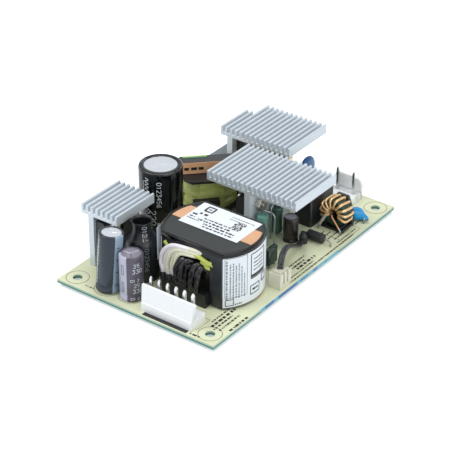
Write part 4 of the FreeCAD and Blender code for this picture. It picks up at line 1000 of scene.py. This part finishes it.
def build_ring_choke():
    middle, size, foot = size_of("ring_choke_core")
    outer, width = size.z / 2, size.y
    near, far, side = RING_INNER + RING_EDGE, outer - RING_EDGE, width / 2 - RING_EDGE
    profile = []
    for i, (r, z) in enumerate(((far, side), (near, side), (near, -side), (far, -side))):
        profile += quarter(r, z, RING_EDGE, 90 * i, 4)
    ring = shifted(turned(profile, loop=True), swung(90, "X"))
    piece("ring_choke_ring", ring, powder_green, "ring_powder", middle, "ring_choke_core")
    # the left end of the wire comes down to the board in a woven sleeve
    level = (middle.z - BOARD_HIGH.z) / MM - 0.2
    lead = held(((*RING_LEAD_START, level), RING_LEAD_FOOT))
    sleeve = tube(even(lead, 0.25), RING_LEAD_RADIUS, 14, braid(1.4, 0.04))
    piece("ring_choke_lead_sleeve", sleeve, sleeving_grey, "sleeving_white", sharp=80)
    wire = wound(RING_INNER, outer, width, RING_WIRE, 62.0, 24.0, 10)
    piece("ring_choke_turns", wire, magnet_wire, "magnet_wire", middle, "ring_choke_winding",
          sharp=80)


def build_filter_choke():
    middle, size, foot = size_of("filter_choke_core")
    coils = [wound(FILTER_INNER, size.z / 2, size.y, FILTER_WIRE, first, 15.5, 8)
             for first in (28.0, 208.0)]
    piece("filter_choke_turns", together(coils), magnet_wire, "magnet_wire", middle,
          "filter_choke_winding", sharp=80)


CHOKE_PLACE = (14.2, 79.9)
CHOKE_TURN = 45.0
CHOKE_TAPE_FACE = 3.05
CHOKE_TOP = 23.3
CHOKE_HALF_LENGTH = 11.3
CHOKE_HALF_DEPTH = 9.7
CHOKE_CUT = 6.3
TAPE_SWELL = 0.2
FOLDS = 20
FOLD_WIDTH = 1.6
FOLD_REACH = 12
FOLD_DEEPEST = 1.5


def build_boost_choke():
    """The taped winding: polyester tape laid in flat, creased facets round the coil."""
    middle, size, where = size_of("boost_choke_winding")
    height = size.z
    half, deep, cut = CHOKE_HALF_LENGTH, CHOKE_HALF_DEPTH, CHOKE_CUT
    corners = [Vector(corner) for corner in (
        (half, cut - deep), (half, deep - cut), (half - cut, deep), (cut - half, deep),
        (-half, deep - cut), (-half, cut - deep), (cut - half, -deep), (half - cut, -deep))]
    outline = []
    for i, start in enumerate(corners):
        end = corners[(i + 1) % len(corners)]
        outline += [start.lerp(end, t / 10) for t in range(10)]
    count, rows = len(outline), 20
    chance = random.Random(17)
    folds = [(chance.uniform(0, 80), chance.uniform(0, height), chance.uniform(-1, 1),
              chance.uniform(0.4, 1.1)) for _ in range(FOLDS)]
    rings = []
    for row in range(rows + 1):
        z = height * row / rows
        ring = []
        for i, p in enumerate(inset(outline, -TAPE_SWELL * sin(pi * row / rows))):
            crease = 0.0
            for spot, level, slope, deep_in in folds:
                away = min(abs(i - spot), count - abs(i - spot))
                line = abs((z - level) - slope * (i - spot) * 0.4)
                crease += (deep_in * max(0.0, 1 - line / FOLD_WIDTH)
                           * max(0.0, 1 - away / FOLD_REACH))
            shrink = 0.997 - min(crease, FOLD_DEEPEST) / 12
            ring.append(Vector((p.x * shrink, p.y * shrink, z)))
        rings.append(ring)
    lip = [[Vector((p.x * 0.9, p.y * 0.9, p.z)) for p in rings[i]] for i in (0, -1)]
    turn = swung(CHOKE_TURN)
    # the wrap's lime tape is painted lighter, as painted light
    piece("boost_choke_wrap", shifted(skin([lip[0]] + rings + [lip[1]]), turn), tape_lime_painted_light,
          "tape_yellow", where, "boost_choke_winding", sharp=20)

    # a few plain bars on the front of the orange tape, and two strips of film over the bar
    def on_bar(x, y, rise):
        return turn @ Vector((x, -CHOKE_TAPE_FACE - 0.01 - rise, y))
    marks = bars([(-10.6, 20.5, 8.6, 1.3, 33)])
    piece("boost_choke_tape_marks", ink(marks, on_bar, 0.02), ink_black, "sleeve_black",
          place(*CHOKE_PLACE))
    for name, near, far, made in (("green", 0.9, 1.9, film_green),
                                  ("yellow", 1.95, 2.8, tape_bright)):
        plan = ((-10.4, near), (-0.5, near), (-0.5, far), (-11.0, far))
        strip = [[Vector((x, y, CHOKE_TOP + rise)) for x, y in plan] for rise in (0.02, 0.14)]
        piece("boost_choke_strip_" + name, shifted(skin(strip), turn), made, "tape_yellow",
              place(*CHOKE_PLACE))


# Small parts

RESISTOR_EDGE = 0.9
DIODE_EDGE = 0.35


def build_resistors():
    # the snubber's coat carries painted light, the bleed resistor's dark coat painted shade
    for name, made, slot in (("snubber_resistor", coat_teal_painted_light, "resistor_green"),
                             ("bleed_resistor", coat_green_painted_shade, "resistor_dark")):
        middle, size, where = size_of(name)
        radius, height = size.x / 2, size.z
        # the coat is thicker over the end caps and dips between them
        profile = [(0.5, 0.0)] + quarter(radius - RESISTOR_EDGE, RESISTOR_EDGE, RESISTOR_EDGE, -90)
        profile += [(radius, 2.2), (radius - 0.16, 3.4)]
        for band in (0.38, 0.5, 0.62):
            profile += [(radius - 0.2, height * band - 0.5), (radius - 0.13, height * band),
                        (radius - 0.2, height * band + 0.5)]
        profile += [(radius - 0.16, height - 3.4), (radius, height - 2.2)]
        profile += quarter(radius - RESISTOR_EDGE, height - RESISTOR_EDGE, RESISTOR_EDGE, 0)
        profile.append((0.5, height))
        piece(name + "_body", turned(profile, 40), made, slot, where, name)


def build_barrel_diode():
    middle, size, foot = size_of("barrel_diode")
    length, radius = size.x, size.z / 2
    profile = [(0.5, 0.0)] + quarter(radius - DIODE_EDGE, DIODE_EDGE, DIODE_EDGE, -90, 3)
    profile += quarter(radius - DIODE_EDGE, length - DIODE_EDGE, DIODE_EDGE, 0, 3)
    body = shifted(turned(profile + [(0.5, length)], 40), at(0, 0, -length / 2))
    piece("barrel_diode_body", body, moulding, "moulding_black",
          Matrix.Translation(middle) @ swung(90, "Y"), "barrel_diode")


DISC_ROWS = 15
DISC_STEPS = 40
DISC_DIP = 8.0
DISC_PLACE = (68.5, 109.2)
DISC_LIFT = 0.9
DISC_RADIUS = 3.3
DISC_THICK = 3.0
DISC_REACH = 6.2
DISC_TIP = 0.25


def dipped(radius, thick, reach, tip):
    """A dipped disc, fat in the middle and round at its rim, drawn out along +X to its leads."""
    rings = []
    for i in range(DISC_ROWS):
        angle = radians(-88 + 176 * i / (DISC_ROWS - 1))
        level = thick / 2 * copysign(abs(sin(angle)) ** 0.9, angle)
        squash = abs(cos(angle)) ** 0.75
        ring = []
        for step in range(DISC_STEPS):
            turn = 2 * pi * step / DISC_STEPS
            forward = max(0.0, cos(turn)) ** 7 if reach > radius else 0.0
            length = radius * (1 - forward) + reach * forward
            ring.append(Vector((length * squash * cos(turn),
                                radius * squash * sin(turn) * (1 - 0.35 * forward),
                                level * (1 - forward * squash ** 3 * (1 - tip)))))
        rings.append(ring)
    return skin(rings)


def build_discs():
    drop = shifted(dipped(DISC_RADIUS, DISC_THICK + 1.2, DISC_REACH, DISC_TIP),
                   at(0, 0, DISC_THICK / 2))
    piece("disc_capacitor_dip", drop, epoxy_blue, "epoxy_blue",
          Matrix.Translation(place(*DISC_PLACE, DISC_LIFT)) @ swung(DISC_DIP, "Y"),
          "disc_capacitor")
    middle, size, foot = size_of("varistor")
    piece("varistor_dip", dipped(size.y / 2, size.x, 0.0, 0.0), epoxy_navy, "epoxy_blue",
          Matrix.Translation(middle) @ swung(90, "Y"), "varistor")


PAIR_ROUTE = ((72.0, 49.0, 7.2), (72.0, 49.2, 9.8), (71.0, 51.6, 12.0), (67.6, 59.6, 10.6),
              (65.0, 68.6, 5.2), (63.4, 75.6, 1.4), (61.8, 78.0, 1.6))
PAIR_START = (0.82, 0.57, 0)
PAIR_HALF_PITCH = 0.66
PAIR_RADIUS = 0.62


def build_signal_pair():
    """Two insulated wires that run side by side from the plug to the bead sensor."""
    run = even(held(PAIR_ROUTE), 0.5)
    wires = []
    for side in (-1, 1):
        path = []
        for i, here in enumerate(run):
            along = heading(run, i).normalized()
            flat = Vector((-along.y, along.x, 0))
            flat = flat.normalized() if flat.length > 0.2 else Vector(PAIR_START)
            path.append(here + flat * side * PAIR_HALF_PITCH)
        wires.append(tube(path, PAIR_RADIUS, 12))
    piece("signal_pair_wires", together(wires), wire_cover, "sleeving_black", None,
          "signal_pair", sharp=80)


MAINS_HEADER_END = (61.92, 124.5)
# length, depth and height of the base; the wall's thickness, height, lean, flare and corner;
# and the slot that the contacts stand in
MAINS_HEADER_SIZE = (12.02, 9.0, 3.6)
MAINS_WALL = (1.1, 10.8, 1.7, 0.7, 3.4)
CONTACT_SLOT = (3.5, 4.7)


def build_mains_header():
    """A base round its two contacts and a latch wall with rounded upper corners."""
    length, depth, base = MAINS_HEADER_SIZE
    thick, high, lean, flare, corner = MAINS_WALL
    outline = [(0.0, 0.0), (length, 0.0)]
    outline += quarter(length + flare - corner, high - corner, corner, 0, 8)
    outline += quarter(corner - flare, high - corner, corner, 90, 8)
    parts = [skin([[Vector((-x, -lean * z / high - y, z)) for x, z in outline]
                   for y in (0.0, thick)])]
    near, far = CONTACT_SLOT
    for x0, x1, y0, y1 in ((0.0, length, 0.0, near), (0.0, length, far, depth),
                           (0.0, 1.45, near, far), (2.65, 9.37, near, far),
                           (10.57, length, near, far)):
        plan = ((x0, y0), (x1, y0), (x1, y1), (x0, y1))
        parts.append(skin([[Vector((-x, -y, z)) for x, y in plan] for z in (0.0, base)]))
    piece("mains_header_housing", together(parts), nylon_milky, "nylon_white",
          place(*MAINS_HEADER_END), "mains_header")


# Marks on the board

# rows of generic print: beside the output header, along the right edge and by the parts
BOARD_ROWS = ((66.4, 12.4, 11.0, 0.7), (68.2, 9.6, 15.0, 1.15), (70.0, 8.6, 12.0, 0.8),
              (72.0, 9.4, 13.0, 0.8), (75.2, 11.6, 12.0, 1.0), (74.6, 52.0, 46.0, 0.7),
              (72.9, 54.0, 17.0, 0.6), (73.0, 88.0, 14.0, 0.6), (71.2, 62.0, 13.0, 1.1),
              (69.5, 61.0, 9.0, 0.9), (67.8, 60.0, 12.0, 0.7), (66.0, 52.6, 6.0, 0.7),
              (69.3, 51.0, 7.0, 0.6), (70.9, 104.6, 7.0, 0.6))
HOLE_COLUMNS = (5.715, 70.485)
HOLE_ROWS = (5.715, 121.285)


def build_board_print():
    def flat(x, y, rise):
        return place(x, y, 0.015 + rise) / MM
    marks = [([(42.0, 1.85), (63.0, 1.85)], 2.7)]
    for column in HOLE_COLUMNS:
        for row, radius in zip(HOLE_ROWS, (4.6, 4.8)):
            marks += ring_mark(column, row, radius, 0.18)
    marks += frame_mark(39.2, 5.0, 25.8, 8.0, 0.16)
    marks += bars([(*row, 80 + i) for i, row in enumerate(BOARD_ROWS)], 90)
    marks += ring_mark(31.2, 8.1, 5.3, 0.15) + ring_mark(*OUTPUT_CAN_PLACE, 5.6, 0.15)
    marks += [([(64.0, 90.6), (74.4, 90.6), (74.4, 103.4), (66.0, 103.4)], 0.18),
              ([(71.0, 100.0), (71.0, 92.0)], 0.16), ([(72.6, 106.6), (75.2, 109.2)], 0.18)]
    marks += bars([(61.5 + i * 2.3, 84.0 + i * 1.4, 7.0, 0.6, 90 + i) for i in range(5)], 90)
    marks += bars([(12.5, 12.0, 4.0, 0.5, 70), (12.0, 3.2, 4.0, 0.6, 71),
                   (64.2, 1.6, 4.4, 0.9, 72)]) + frame_mark(67.6, 51.6, 1.0, 6.0, 0.14)
    piece("board_print", ink(marks, flat, 0.02, 2.0), ink_black, "laminate")

    # copper tracks show as a lighter relief through the resist of the underside
    def under(x, y, rise):
        return place(x, y, (BOARD_LOW.z - BOARD_HIGH.z) / MM - 0.01 - rise) / MM
    chance = random.Random(41)
    tracks = []
    for column in range(9):
        x = 12.0 + column * 6.4
        y = 8.0 + chance.uniform(0, 6)
        while y < 106.0:
            length = chance.uniform(9.0, 24.0)
            side = chance.choice((-2.6, 0.0, 2.6))
            end = min(118.0, y + length)
            tracks.append(([(x, y), (x, end - 3.0), (x + side, end)],
                           chance.choice((0.9, 1.6, 3.2))))
            y = end + 3.4
    piece("underside_tracks", ink(tracks, under, 0.03, 4.0), track_green, "laminate")


# The set: floor, light and camera

FLOOR_HALF = 6.0
# name, place in metres, width in metres and watts
LAMPS = (("key", (-0.45, -0.50, 0.75), 0.55, 3.8), ("top", (0.10, 0.10, 0.95), 0.9, 4.6),
         ("fill", (0.75, -0.25, 0.35), 0.7, 2.0))


def backdrop(tree, output, usual, white):
    """White for rays from the camera, off gloss or through glass, the usual one for others."""
    path = add(tree, "LightPath").outputs
    some = add(tree, "Math", {"operation": "MAXIMUM", 0: path["Is Camera Ray"],
                              1: path["Is Glossy Ray"]})
    direct = add(tree, "Math", {"operation": "MAXIMUM", 0: some,
                                1: path["Is Transmission Ray"]})
    both = add(tree, "MixShader", {0: direct, 1: usual, 2: white})
    add(tree, output, {"Surface": both})


def build_set():
    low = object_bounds()[0].z
    mesh = bpy.data.meshes.new("floor")
    mesh.from_pydata([(x * FLOOR_HALF, y * FLOOR_HALF, low)
                      for x, y in ((-1, -1), (1, -1), (1, 1), (-1, 1))], [], [(0, 1, 2, 3)])
    floor = shown("floor", mesh)
    made = bpy.data.materials.new("white_sweep")
    tree = cleared(made)
    matt = add(tree, "BsdfDiffuse", {"Color": colour("#F7FAFB")})
    glow = add(tree, "Emission", {"Color": colour("#F7FCFF"), "Strength": 0.45})
    backdrop(tree, "OutputMaterial", matt, add(tree, "AddShader", {0: matt, 1: glow}))
    floor.data.materials.append(made)

    scene.world = bpy.data.worlds.new("studio")
    tree = cleared(scene.world)
    room, white = (add(tree, "Background", {"Color": colour(code), "Strength": strength})
                   for code, strength in (("#F2F6FA", 0.42), ("#FFFFFF", 1.0)))
    backdrop(tree, "OutputWorld", room, white)

    for name, spot, width, watts in LAMPS:
        data = bpy.data.lights.new(name, "AREA")
        data.shape = "DISK"
        data.size = width
        data.energy = watts
        lamp = shown(name, data)
        lamp.location = spot
        lamp.rotation_mode = "QUATERNION"
        lamp.rotation_quaternion = Vector(spot).to_track_quat("Z", "Y")


def build_camera():
    a, e, r = (radians(x) for x in (CAMERA_AZIMUTH, CAMERA_ELEVATION, CAMERA_ROLL))
    back = Vector((sin(a) * cos(e), -cos(a) * cos(e), sin(e)))
    level = (-back).cross(Vector((0, 0, 1))).normalized()
    upright = level.cross(-back)
    right = level * cos(r) + upright * sin(r)
    up = upright * cos(r) - level * sin(r)
    spot = (place(*CAMERA_TARGET) + back * CAMERA_DISTANCE * MM
            + right * CAMERA_SHIFT[0] * MM + up * CAMERA_SHIFT[1] * MM)
    data = bpy.data.cameras.new("camera")
    data.lens = CAMERA_LENS
    data.sensor_width = 36.0
    data.clip_start = 0.01
    scene.camera = shown("camera", data)
    turn = Matrix((right, up, back)).transposed().to_4x4()
    scene.camera.matrix_world = Matrix.Translation(spot) @ turn


dress_cad_nodes()
build_heatsinks()
build_capacitors()
build_shrink_sleeve()
build_transformer()
build_transformer_leads()
build_ring_choke()
build_filter_choke()
build_boost_choke()
build_resistors()
build_barrel_diode()
build_discs()
build_signal_pair()
build_mains_header()
build_board_print()
build_set()
build_camera()
scene.view_settings.view_transform = "Standard"
